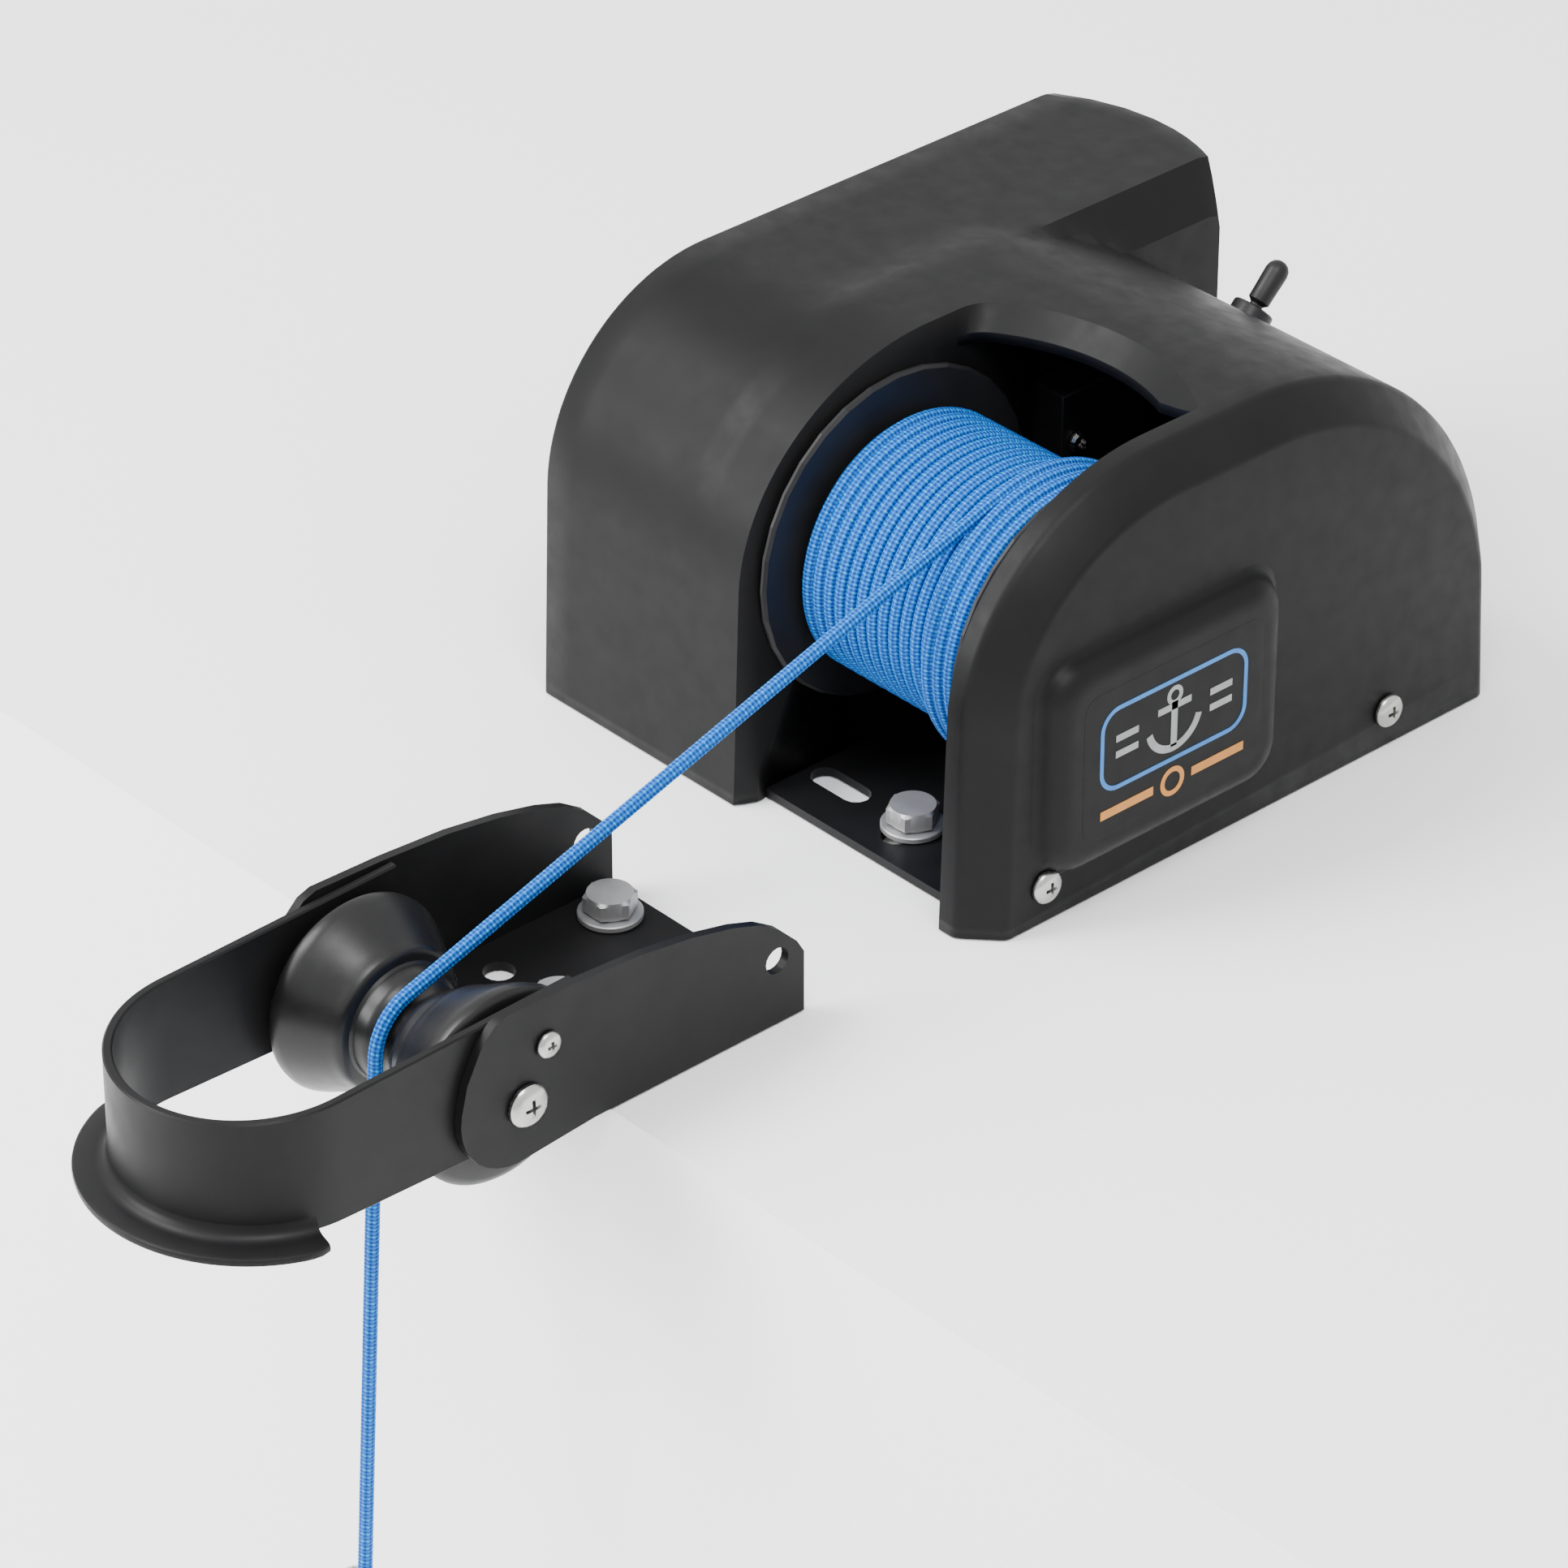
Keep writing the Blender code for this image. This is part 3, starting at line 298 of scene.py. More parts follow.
def even_count(fine, count):
    """Read a fine line off again at evenly spaced points."""
    lengths = [0.0]
    for a, b in zip(fine, fine[1:]):
        lengths.append(lengths[-1] + (b - a).length)
    picked = []
    at = 0
    for i in range(count + 1):
        want = lengths[-1] * i / count
        while at < len(fine) - 2 and lengths[at + 1] < want:
            at += 1
        share = (want - lengths[at]) / max(lengths[at + 1] - lengths[at], 1e-9)
        picked.append(fine[at].lerp(fine[at + 1], min(1.0, share)))
    return picked


def rope_tube(name, path, radius, sides, across, swell=0.0):
    """Tube along a path, with a UV map: U counts braid lengths along, V goes once round."""
    points = []
    at = 0.0
    travelled = []
    normal = Vector(across)
    for i, point in enumerate(path):
        ahead = path[min(i + 1, len(path) - 1)] - path[max(i - 1, 0)]
        ahead.normalize()
        normal = (normal - ahead * normal.dot(ahead)).normalized()
        side = ahead.cross(normal)
        travelled.append(at / BRAID_LENGTH)
        if i < len(path) - 1:
            at += (path[i + 1] - point).length
        for k in range(sides):
            turn = 2 * pi * k / sides
            phase = 2 * pi * travelled[-1]
            ridge = sin(4 * turn + 4 * phase) * sin(4 * turn - 4 * phase)
            reach = radius - swell + swell * ridge
            points.append(point + (normal * cos(turn) + side * sin(turn)) * reach)
    faces = []
    uvs = []
    for row in range(len(path) - 1):
        for k in range(sides):
            j = (k + 1) % sides
            low = row * sides
            faces.append((low + k, low + j, low + sides + j, low + sides + k))
            u, v = travelled[row], travelled[row + 1]
            uvs += [(u, k / sides), (u, (k + 1) / sides), (v, (k + 1) / sides), (v, k / sides)]
    faces.append(tuple(reversed(range(sides))))
    faces.append(tuple(range(len(points) - sides, len(points))))
    uvs += [(travelled[0], 0.0)] * sides + [(travelled[-1], 0.0)] * sides
    mesh = bpy.data.meshes.new(name)
    mesh.from_pydata([point * MM for point in points], [], faces)
    layer = mesh.uv_layers.new(name="braid")
    for loop, uv in zip(layer.data, uvs):
        loop.uv = uv
    mesh.shade_smooth()
    made = bpy.data.objects.new(name, mesh)
    bpy.context.collection.objects.link(made)
    return made


def make_rope(finish):
    path = smooth_route(ROPE_ROUTE, 0.55)
    rope = rope_tube("braided_rope_run", path, ROPE_RADIUS, 24, (1, 0, 0), swell=0.14)
    finish_piece(rope, "winch_and_bow", ["rope_run"], finish)


def drum_point(x, radius, turn):
    return Vector((x, DRUM_AXIS[0] + radius * cos(turn), DRUM_AXIS[1] + radius * sin(turn)))


def make_winding(finish):
    """Upper turns end where the run leaves them; the layer below fills the drum from flange to flange."""
    leave = atan2(ROPE_ROUTE[0][2] - DRUM_AXIS[1], ROPE_ROUTE[0][1] - DRUM_AXIS[0])
    per_turn = 72
    begin = WINDING_X[0] + ROPE_RADIUS + 0.1
    end = WINDING_X[1] - ROPE_RADIUS - 0.1
    layers = [("winding_upper", UPPER_ROPE, ROPE_ROUTE[0][0], end, leave),
              ("winding_lower", LOWER_ROPE, begin, end, 0.4)]
    made = []
    for name, radius, first, last, start in layers:
        turns = (last - first) / ROPE_PITCH
        count = round(turns * per_turn)
        path = [drum_point(first + (last - first) * i / count, radius, start - 2 * pi * turns * i / count)
                for i in range(count + 1)]
        made.append(rope_tube(name, path, ROPE_RADIUS, 14, (1, 0, 0)))
    core = [(begin, 18.0), (begin, LOWER_ROPE - 0.2), (end, LOWER_ROPE - 0.2), (end, 18.0)]
    inner = aim(turned("winding_core", core), (0, *DRUM_AXIS), (1, 0, 0))
    finish_piece(inner, "drum_group", ["rope_winding"], finish)
    for item in made:
        finish_piece(item, "drum_group", ["rope_winding"], finish)


# ---------------------------------------------------------------- cover

def arch_line(inset):
    """Side outline of the arch as three runs: front to crown, crown to shoulder, shoulder to foot."""
    top = ARCH_TOP - inset
    front = front_run(ARCH_FRONT_CENTRE, top, inset)
    radius = top - ARCH_REAR_CENTRE[1]
    rear = [(ARCH_REAR_CENTRE[0] + radius * sin(t), ARCH_REAR_CENTRE[1] + radius * cos(t))
            for t in (ARCH_REAR_SWEEP * i / 60 for i in range(61))]
    split = round(60 * CORNER_SWEEP / ARCH_REAR_SWEEP)
    return front, rear[:split + 1], rear[split:] + [(COVER_REAR - inset, 0.0)]


def front_run(centre, top, inset):
    front = COVER_FRONT + DRAFT + inset
    points = [(COVER_FRONT + inset, 0.0), (front, centre[1])]
    for i in range(1, 41):
        turn = pi / 2 * i / 40
        y = centre[0] - (centre[0] - front) * cos(turn)
        points.append((y, centre[1] + (top - centre[1]) * sin(turn)))
    return points


def tall_line(x, inset):
    """Side outline of the tall housing at one x, as the same three runs."""
    half = (TALL_RIGHT - COVER_LEFT) / 2
    middle = (TALL_RIGHT + COVER_LEFT) / 2
    bow = (half * half + TALL_REAR_BULGE ** 2) / (2 * TALL_REAR_BULGE)
    rear = TALL_REAR - (bow - sqrt(bow * bow - (x - middle) ** 2)) - inset
    past = max(0.0, x - TALL_CREST) / (TALL_RIGHT - TALL_CREST)
    top = TALL_TOP - inset - past * TALL_DROP
    front = front_run(TALL_FRONT_CENTRE, top, inset)
    corner = [(rear - TALL_SOFT + TALL_SOFT * sin(t), top - TALL_SOFT + TALL_SOFT * cos(t))
              for t in (pi / 2 * i / 8 for i in range(9))]
    return front, [(ARCH_REAR_CENTRE[0], top)] + corner[:5], corner[4:] + [(rear, 0.0)]


def resample(line, count):
    return [(p.x, p.y) for p in even_count([Vector((*point, 0.0)) for point in line], count)]


def cut_at(line, y):
    """Split a rising run of points where it passes y."""
    for i, (a, b) in enumerate(zip(line, line[1:])):
        if a[0] <= y <= b[0]:
            share = (y - a[0]) / max(b[0] - a[0], 1e-9)
            middle = (y, a[1] + (b[1] - a[1]) * share)
            return line[:i + 1] + [middle], [middle] + line[i + 1:]
    raise ValueError("the outline doesn't reach y = %.1f" % y)


def station(x, line, split):
    """One section of the skin: front run up to the opening's rim, then the crown and the rear."""
    front, crown, rear = line
    whole = front + crown[1:]
    before, after = cut_at(whole, split)
    outline = resample(before, FRONT_POINTS)
    outline += resample(after, CROWN_POINTS)[1:]
    outline += resample(rear, REAR_POINTS)[1:]
    return [(x, y, z) for y, z in outline]


def rim_y(x, outer):
    """Plan of the opening's rear edge: an arc with a rounded corner at each side."""
    k = 0 if outer else 1
    left, right = RIM_OUT if outer else RIM_IN
    radius = RIM_RADIUS[k]
    corner = RIM_LEFT_CORNER[k]
    centre = left + corner
    if x < centre * radius / (radius - corner):
        y = RIM_CENTRE + sqrt((radius - corner) ** 2 - centre ** 2)
        return y + sqrt(max(0.0, corner ** 2 - (x - centre) ** 2))
    corner = RIM_RIGHT_CORNER[k]
    centre = right - corner
    if x > centre * radius / (radius - corner):
        y = RIM_CENTRE + sqrt((radius - corner) ** 2 - centre ** 2)
        return y + sqrt(max(0.0, corner ** 2 - (x - centre) ** 2))
    return RIM_CENTRE + sqrt(radius * radius - x * x)


def height(line, y):
    """Height of an outline above one y on its upper side."""
    front, crown, rear = line
    before, _ = cut_at(front + crown[1:] + rear[1:], y)
    return before[-1][1]


def reach(outline, way):
    """Distance from POLE to an outline of (y, z) points, looking one way."""
    for a, b in zip(outline, outline[1:]):
        side = Vector(b) - Vector(a)
        start = Vector(a) - Vector(POLE)
        turn = way.cross(side)
        if abs(turn) < 1e-9:
            continue
        along = start.cross(way) / turn
        distance = start.cross(side) / turn
        if -1e-6 <= along <= 1 + 1e-6 and distance > 0:
            return distance
    return 0.0


def laid_on(row, outline, share=1.0, outwards=False):
    """Move a section's points along lines from POLE towards an outline.

    With outwards set, only points inside the outline move, and only on its upper side.
    """
    moved = []
    for x, y, z in row:
        gap = Vector((y, z)) - Vector(POLE)
        wanted = reach(outline, gap.normalized())
        above = y < POLE[0] or z > 70.0
        if wanted and not (outwards and (wanted < gap.length or not above)):
            gap = gap.normalized() * (gap.length + (wanted - gap.length) * share)
        moved.append((x, POLE[0] + gap.x, POLE[1] + gap.y))
    return moved


def left_stations():
    """Outer side, tall housing, bevelled crest and the wall down to the arch.

    In front of the crest the arch is the higher of the two, so the housing runs into it with no step.
    """
    split = rim_y(RIM_OUT[0], True)
    front, crown, rear = arch_line(0.0)
    arch = front + crown[1:] + rear[1:]
    rows = []
    for x, inset in ((COVER_LEFT, 1.2), (COVER_LEFT + 0.3, 0.5), (COVER_LEFT + 1.2, 0.0)):
        rows.append(station(x, tall_line(x, inset), split))
    for x in (-108.0, -98.0, -88.0, -80.0):
        rows.append(station(x, tall_line(x, 0.0), split))
    for x, share in ((-74.0, 0.2), (-69.0, 0.6), (-65.5, 0.9), (TALL_CREST, 1.0), (-58.5, 1.0), (-55.0, 1.0)):
        rows.append(laid_on(station(x, tall_line(x, 0.0), split), arch, share, outwards=True))
    top = laid_on(station(TALL_RIGHT, tall_line(TALL_RIGHT, 0.0), split), arch, outwards=True)
    foot = laid_on(top, arch)
    rows += [top, foot]
    last = station(RIM_OUT[0], arch_line(0.0), split)
    for share in (0.3, 0.65):
        between = [tuple(Vector(a).lerp(Vector(b), share)) for a, b in zip(foot, last)]
        rows.append(laid_on(between, arch))
    return rows + [last]


def right_stations():
    """Strip beside the opening, rounded bevel, and the edge of the badge side."""
    split = rim_y(RIM_OUT[1], True)
    edge = COVER_RIGHT - LABEL_CHAMFER
    steps = [(RIM_OUT[1], 0.0), (edge - 1.6, 0.0), (edge - 0.4, 0.25), (edge + 0.8, 1.1),
             (COVER_RIGHT - 1.0, LABEL_CHAMFER - 1.2), (COVER_RIGHT - 0.3, LABEL_CHAMFER - 0.2),
             (COVER_RIGHT, LABEL_CHAMFER + 1.0)]
    return [station(x, arch_line(inset), split) for x, inset in steps]


def rim_stations():
    """Columns between the two sides of the opening, closer together near its corners."""
    count = 44
    left, right = RIM_OUT
    return [(left + right) / 2 - (right - left) / 2 * cos(pi * i / count) for i in range(1, count)]


def make_cover(finish):
    points = []
    faces = []

    def add(row):
        start = len(points)
        points.extend(row)
        return list(range(start, start + len(row)))

    def strip(a, b):
        for i in range(len(a) - 1):
            faces.append((a[i], a[i + 1], b[i + 1], b[i]))

    left = [add(row) for row in left_stations()]
    right = [add(row) for row in right_stations()]
    band = []
    outer_line = arch_line(0.0)
    for x in rim_stations():
        row = station(x, outer_line, rim_y(x, True))
        band.append((x, add(row[FRONT_POINTS:])))
    rows = left + right
    for a, b in zip(left, left[1:]):
        strip(a, b)
    for a, b in zip(right, right[1:]):
        strip(a, b)
    columns = [left[-1][FRONT_POINTS:]] + [row for _, row in band] + [right[0][FRONT_POINTS:]]
    for a, b in zip(columns, columns[1:]):
        strip(a, b)

    # Bevel round the opening: skin edge, then inner edge, then a short lip behind the drum
    inner_left = station(RIM_IN[0], arch_line(RIM_DEPTH), rim_y(RIM_IN[0], False))[:FRONT_POINTS + 1]
    inner_right = station(RIM_IN[1], arch_line(RIM_EDGE_DEPTH), rim_y(RIM_OUT[1], True) + 0.3)
    inner_right = inner_right[:FRONT_POINTS + 1]
    inner_rear = []
    for x, _ in band:
        share = (x - RIM_OUT[0]) / (RIM_OUT[1] - RIM_OUT[0])
        inside = RIM_IN[0] + share * (RIM_IN[1] - RIM_IN[0])
        full = min(1.0, (RIM_OUT[1] - x) / 16.0) ** 0.7
        depth = RIM_EDGE_DEPTH + (RIM_DEPTH - RIM_EDGE_DEPTH) * full
        y = rim_y(x, True) + (rim_y(inside, False) - rim_y(x, True)) * full
        inner_rear.append((inside, y, height(arch_line(depth), y)))
    a = add(inner_left)
    b = add(inner_rear)
    c = add(inner_right)
    inner = a + b + c[::-1]
    outer = left[-1][:FRONT_POINTS + 1] + [row[0] for _, row in band] + right[0][:FRONT_POINTS + 1][::-1]
    strip(outer, inner)
    lip = add([(x, y, z - 3.0) for x, y, z in [inner_left[-1]] + inner_rear + [inner_right[-1]]])
    strip([a[-1]] + b + [c[-1]], lip)

    # Walls beside the drum, notched for its shaft
    for edge, corner, side in ((a, lip[0], -1), (c, lip[-1], 1)):
        x = points[edge[0]][0]
        z = points[corner][2]
        arc = [(DRUM_AXIS[0] - NOTCH * cos(t), DRUM_AXIS[1] + NOTCH * sin(t))
               for t in (pi * i / 16 for i in range(17))]
        rest = [(PLATE_FRONT, 0.0), (PLATE_FRONT, PLATE_TOP), (DRUM_AXIS[0] - NOTCH, PLATE_TOP)] + arc
        rest += [(DRUM_AXIS[0] + NOTCH, PLATE_TOP), (PARTITION_REAR, PLATE_TOP), (PARTITION_REAR, z)]
        wall = edge[::-1] + add([(x, y, v) for y, v in rest]) + [corner]
        faces.append(tuple(wall) if side < 0 else tuple(reversed(wall)))

    faces.append(tuple(left[0]))
    faces.append(tuple(reversed(right[-1])))
    cover = add_mesh("moulded_cover", points, faces, angle=34.0)
    work = bmesh.new()
    work.from_mesh(cover.data)
    bmesh.ops.remove_doubles(work, verts=work.verts, dist=0.00002)
    bmesh.ops.recalc_face_normals(work, faces=work.faces)
    far = max(work.faces, key=lambda face: face.calc_center_median().x)
    if far.normal.x < 0:
        bmesh.ops.reverse_faces(work, faces=work.faces)
    work.to_mesh(cover.data)
    work.free()
    cover.data.set_sharp_from_angle(angle=radians(34))
    shell = cover.modifiers.new("wall", "SOLIDIFY")
    shell.thickness = COVER_SKIN * MM
    shell.offset = -1.0
    finish_piece(cover, "winch_and_bow", ["cover"], finish)


def make_side_panel(finish):
    """Raised panel with soft sloping sides; the plain picture of an anchor on it is drawn by make_badge."""
    sections = []
    for rise, inset in PANEL_STEPS:
        radius = 11.0 - 0.55 * max(0.0, inset)
        outline = rounded_outline([v + inset for v in (PANEL_Y[0], PANEL_Z[0])],
                                  [v - inset for v in (PANEL_Y[1], PANEL_Z[1])], radius)
        sections.append([(COVER_RIGHT + rise, y, z) for y, z in outline])
    panel = loft("side_panel", sections)
    finish_piece(panel, "winch_and_bow", [], finish)


# ---------------------------------------------------------------- badge picture


def ribbon(name, path, width, x_range, closed=False):
    """Flat line of even width on the badge plane."""
    count = len(path)
    sections = []
    for i, (y, z) in enumerate(path):
        before = path[(i - 1) % count] if closed or i else path[i]
        after = path[(i + 1) % count] if closed or i < count - 1 else path[i]
        run = Vector((after[0] - before[0], after[1] - before[1])).normalized()
        side = (-run.y * width / 2, run.x * width / 2)
        sections.append([(x_range[0], y + side[0], z + side[1]), (x_range[1], y + side[0], z + side[1]),
                         (x_range[1], y - side[0], z - side[1]), (x_range[0], y - side[0], z - side[1])])
    if closed:
        sections.append(sections[0])
    made = loft(name, sections, capped=not closed, smooth=False)
    if closed:
        work = bmesh.new()
        work.from_mesh(made.data)
        bmesh.ops.remove_doubles(work, verts=work.verts, dist=1e-7)
        work.to_mesh(made.data)
        work.free()
    return made


def circle_path(centre, radius, start, stop, count):
    return [(centre[0] + radius * cos(t), centre[1] + radius * sin(t))
            for t in (start + (stop - start) * i / count for i in range(count + 1))]


def make_badge(film, silver, blue, amber):
    sections = []
    low = (PANEL_Y[0] + BADGE_INSET, PANEL_Z[0] + BADGE_INSET)
    high = (PANEL_Y[1] - BADGE_INSET, PANEL_Z[1] - BADGE_INSET)
    for x, inset in zip(FILM_X, (0.0, 0.0, 0.1)):
        outline = rounded_outline([v + inset for v in low], [v - inset for v in high], 5.0)
        sections.append([(x, y, z) for y, z in outline])
    plate = loft("badge_film", sections)
    finish_piece(plate, "winch_and_bow", ["badge"], film)
    y, z = BADGE_CENTRE
    frame_path = rounded_outline((y - 26.0, z - 8.5), (y + 26.0, z + 15.5), 6.0)
    lines = [
        ("badge_frame", frame_path, 1.3, True, blue),
        ("badge_stock", [(y - 6.0, z + 7.6), (y + 6.0, z + 7.6)], 2.0, False, silver),
        ("badge_shank", [(y, z - 4.6), (y, z + 9.0)], 2.2, False, silver),
        ("badge_ring", circle_path((y, z + 10.9), 2.2, 0, 2 * pi, 24)[:-1], 1.3, True, silver),
        ("badge_arms", circle_path((y, z + 4.2), 9.2, pi * 1.08, pi * 1.92, 24), 2.2, False, silver),
        ("badge_target", circle_path((y, z - 15.4), 3.6, 0, 2 * pi, 24)[:-1], 1.5, True, amber),
    ]
    for side in (-1, 1):
        name = "left" if side < 0 else "right"
        for row, rise in enumerate((6.2, 1.4)):
            bar = [(y + side * 13.0, z + rise), (y + side * 21.0, z + rise)]
            lines.append(("badge_bar_%s_%d" % (name, row), bar, 2.0, False, silver))
        line = [(y + side * 7.0, z - 15.4), (y + side * 26.0, z - 15.4)]
        lines.append(("badge_line_" + name, line, 2.6, False, amber))
    for name, path, width, closed, finish in lines:
        item = ribbon(name, path, width, PRINT_X, closed)
        finish_piece(item, "winch_and_bow", [], finish)


# ---------------------------------------------------------------- bow roller pieces

def make_roller(finish):
    mirrored = [(-along, radius) for along, radius in reversed(ROLLER_SIDE[:-1])]
    roller = turned("turned_roller", ROLLER_SIDE + mirrored)
    aim(roller, (BOW_CENTRE, *ROLLER_AXIS), (1, 0, 0))
    finish_piece(roller, "roller_group", ["bow_roller"], finish)


def band_low(y):
    return 2.5 + (BAND_REAR - y) * 0.033


def band_high(y):
    return 41.8 - (BAND_REAR - y) * 0.024


def band_path():
    """Centre direction and y of each band section, from the right rear end round to the left one."""
    path = [((1.0, 0.0), BAND_REAR + (BAND_CENTRE - BAND_REAR) * i / 8) for i in range(8)]
    back = [((-1.0, 0.0), y) for _, y in reversed(path)]
    path += [((cos(t), -sin(t)), BAND_CENTRE) for t in (pi * i / 48 for i in range(49))]
    return path + back


def make_band(finish):
    sections = []
    soft = 0.45
    for (u, v), y in band_path():
        section = []
        low = band_low(y + v * BAND_OUTER)
        high = band_high(y + v * BAND_OUTER)
        inner = BAND_OUTER - SHEET
        ring = [(BAND_OUTER - soft, low), (BAND_OUTER, low + soft), (BAND_OUTER, high - soft),
                (BAND_OUTER - soft, high), (inner + soft, high), (inner, high - soft), (inner, low + soft),
                (inner + soft, low)]
        for radius, z in ring:
            section.append((BOW_CENTRE + u * radius, y + v * radius, z))
        sections.append(section)
    band = loft("bent_band", sections)
    finish_piece(band, "winch_and_bow", ["stirrup_band"], finish)
    make_lip(finish)


def make_lip(finish):
    """Lip turned out from the band's nose, with a cove where it leaves the band."""
    cove = 3.6
    sections = []
    count = 48
    for i in range(count + 1):
        turn = -pi / 2 - LIP_HALF_ANGLE + 2 * LIP_HALF_ANGLE * i / count
        end = min(i, count - i)
        outer = LIP_OUTER - (1.6, 0.5, 0.1, 0.0)[min(end, 3)]
        low = band_low(BAND_CENTRE + BAND_OUTER * sin(turn)) - LIP_DROP
        top = low + SHEET
        ring = [(BAND_OUTER - 1.6, low + 0.3), (outer - 0.9, low), (outer - 0.2, low + 0.5),
                (outer, low + 1.3), (outer - 0.2, top - 0.4), (outer - 0.9, top)]
        ring += [(BAND_OUTER + cove - cove * sin(t), top + cove - cove * cos(t))
                 for t in (pi / 2 * k / 6 for k in range(7))]
        ring.append((BAND_OUTER - 1.6, top + cove))
        sections.append([(BOW_CENTRE + r * cos(turn), BAND_CENTRE + r * sin(turn), z) for r, z in ring])
    lip = loft("band_lip", sections)
    finish_piece(lip, "winch_and_bow", [], finish)


# ---------------------------------------------------------------- fasteners and toggle

def pan_head(name, node, place, direction, radius, rise, finish):
    """Domed screw head with a cross recess cut into it."""
    profile = [(-2.0, 0), (-2.0, radius * 0.5), (GAP, radius * 0.5), (GAP, radius - 0.25),
               (GAP + 0.25, radius),
               (rise * 0.42, radius), (rise * 0.62, radius * 0.93), (rise * 0.8, radius * 0.78),
               (rise * 0.92, radius * 0.55), (rise * 0.98, radius * 0.3), (rise, 0)]
    head = aim(turned(name, profile, 48), place, direction)
    for turn in (0, 1):
        tool = cross_arm(name + "_arm_%d" % turn, radius * 0.5, rise, turn)
        aim(tool, place, direction)
        step = head.modifiers.new("recess_%d" % turn, "BOOLEAN")
        step.operation = "DIFFERENCE"
        step.solver = "EXACT"
        step.object = tool
    bpy.context.view_layer.update()
    solid = bpy.data.meshes.new_from_object(head.evaluated_get(bpy.context.evaluated_depsgraph_get()))
    tools = [step.object for step in head.modifiers]
    head.modifiers.clear()
    head.data = solid
    for tool in tools:
        bpy.data.objects.remove(tool)
    solid.shade_smooth()
    solid.set_sharp_from_angle(angle=radians(30))
    finish_piece(head, "winch_and_bow", [node], finish)


def cross_arm(name, reach, rise, turn):
    """Wedge that is wide at the head's face and narrow at the bottom of the recess."""
    sections = []
    for z, along, across in ((rise * 0.3, reach * 0.35, 0.3), (rise + 1.0, reach * 1.15, 0.62)):
        if turn:
            along, across = across, along
        sections.append([(along, across, z), (-along, across, z), (-along, -across, z), (along, -across, z)])
    return loft(name, sections, smooth=False)


def make_screws(finish):
    for side, name in ((1, "right"), (-1, "left")):
        seat = COVER_RIGHT if side > 0 else COVER_LEFT
        for y, end in ((-74.5, "front"), (52.8, "rear")):
            node = "cover_screw_%s_%s" % (name, end)
            pan_head(node + "_head", node, (seat, y, 11.3), (side, 0, 0), 4.8, 3.0, finish)
        outside = BOW_CENTRE + side * BOW_HALF
        for kind, place, radius, rise in (("axle", ROLLER_AXIS, 5.9, 3.4), ("band", BAND_SCREW, 3.7, 2.3)):
            pan_head("%s_head_%s" % (kind, name), "%s_screw_%s" % (kind, name), (outside, *place),
                     (side, 0, 0), radius, rise, finish)


def hex_head(name, node, place, finish):
    """Hexagon with a chamfered top and a washer face under it; each level is cut off at a radius limit."""
    x, y = place
    low = SHEET + 2 * GAP + WASHER_THICKNESS
    count = 72
    sections = []
    for z, limit in ((low, 6.2), (low + 0.35, 6.25), (low + 0.4, 99.0), (low + 4.55, 99.0), (low + 5.3, 6.2)):
        ring = []
        for i in range(count):
            turn = 2 * pi * i / count
            reach = min(limit, HEX_FLATS / 2 / cos(turn % (pi / 3) - pi / 6))
            ring.append((x + reach * cos(turn), y + reach * sin(turn), z))
        sections.append(ring)
    head = loft(name, sections)
    finish_piece(head, "winch_and_bow", [node], finish)


def washer(name, node, place, finish):
    low = SHEET + GAP
    top = WASHER_THICKNESS
    profile = [(0, 4.4), (0, 8.5), (0.2, 8.7), (1.4, 8.7), (top, 8.4), (top, 4.4)]
    made = turned(name, profile, 64)
    made.location = Vector((*place, low)) * MM
    finish_piece(made, "winch_and_bow", [node], finish)


def toggle_seat(depth):
    y, z = ARCH_REAR_CENTRE
    radius = ARCH_TOP - z + depth
    return (TOGGLE_X, y + radius * sin(TOGGLE_TILT), z + radius * cos(TOGGLE_TILT))


def make_toggle(boot, ring):
    direction = (0, sin(TOGGLE_TILT), cos(TOGGLE_TILT))
    collar = [(-8.0, 4.5), (-8.0, 6.0), (2.2, 6.0), (2.9, 5.8), (3.2, 5.3), (3.2, 4.8), (2.9, 4.5)]
    bushing = aim(turned("toggle_collar", collar, 48), toggle_seat(0), direction)
    finish_piece(bushing, "winch_and_bow", ["toggle_bushing"], ring)
    lever = [(-6.0, 0), (-6.0, 1.8), (4.2, 1.9), (5.2, 3.1), (14.4, 3.3), (15.9, 3.0), (17.0, 2.2),
             (17.6, 1.1), (17.8, 0)]
    stick = [(along + 1.0, radius) for along, radius in lever]
    item = aim(turned("toggle_stick", stick, 48), toggle_seat(-1.0), direction)
    finish_piece(item, "toggle_group", ["toggle_lever"], boot)


def refined(node, body, finish, bevel=0.35):
    """Copy of a CAD piece with its hard edges softened."""
    source = frame["nodes"][node]
    mesh = source.data.copy()
    item = bpy.data.objects.new(node + "_soft", mesh)
    bpy.context.collection.objects.link(item)
    item.matrix_world = source.matrix_world.copy()
    work = bmesh.new()
    work.from_mesh(mesh)
    bmesh.ops.remove_doubles(work, verts=work.verts, dist=1e-6)
    bmesh.ops.dissolve_limit(work, angle_limit=radians(1.0), verts=work.verts, edges=work.edges)
    work.to_mesh(mesh)
    work.free()
    step = item.modifiers.new("soft_edges", "BEVEL")
    step.width = bevel * MM
    step.segments = 2
    step.limit_method = "ANGLE"
    step.angle_limit = radians(40)
    step.harden_normals = False
    mesh.shade_smooth()
    mesh.set_sharp_from_angle(angle=radians(35))
    finish_piece(item, body, [node], finish)


# ---------------------------------------------------------------- materials

def blank(name):
    made = bpy.data.materials.new(name)
    made.use_nodes = True
    tree = made.node_tree
    return made, tree, tree.nodes["Principled BSDF"]


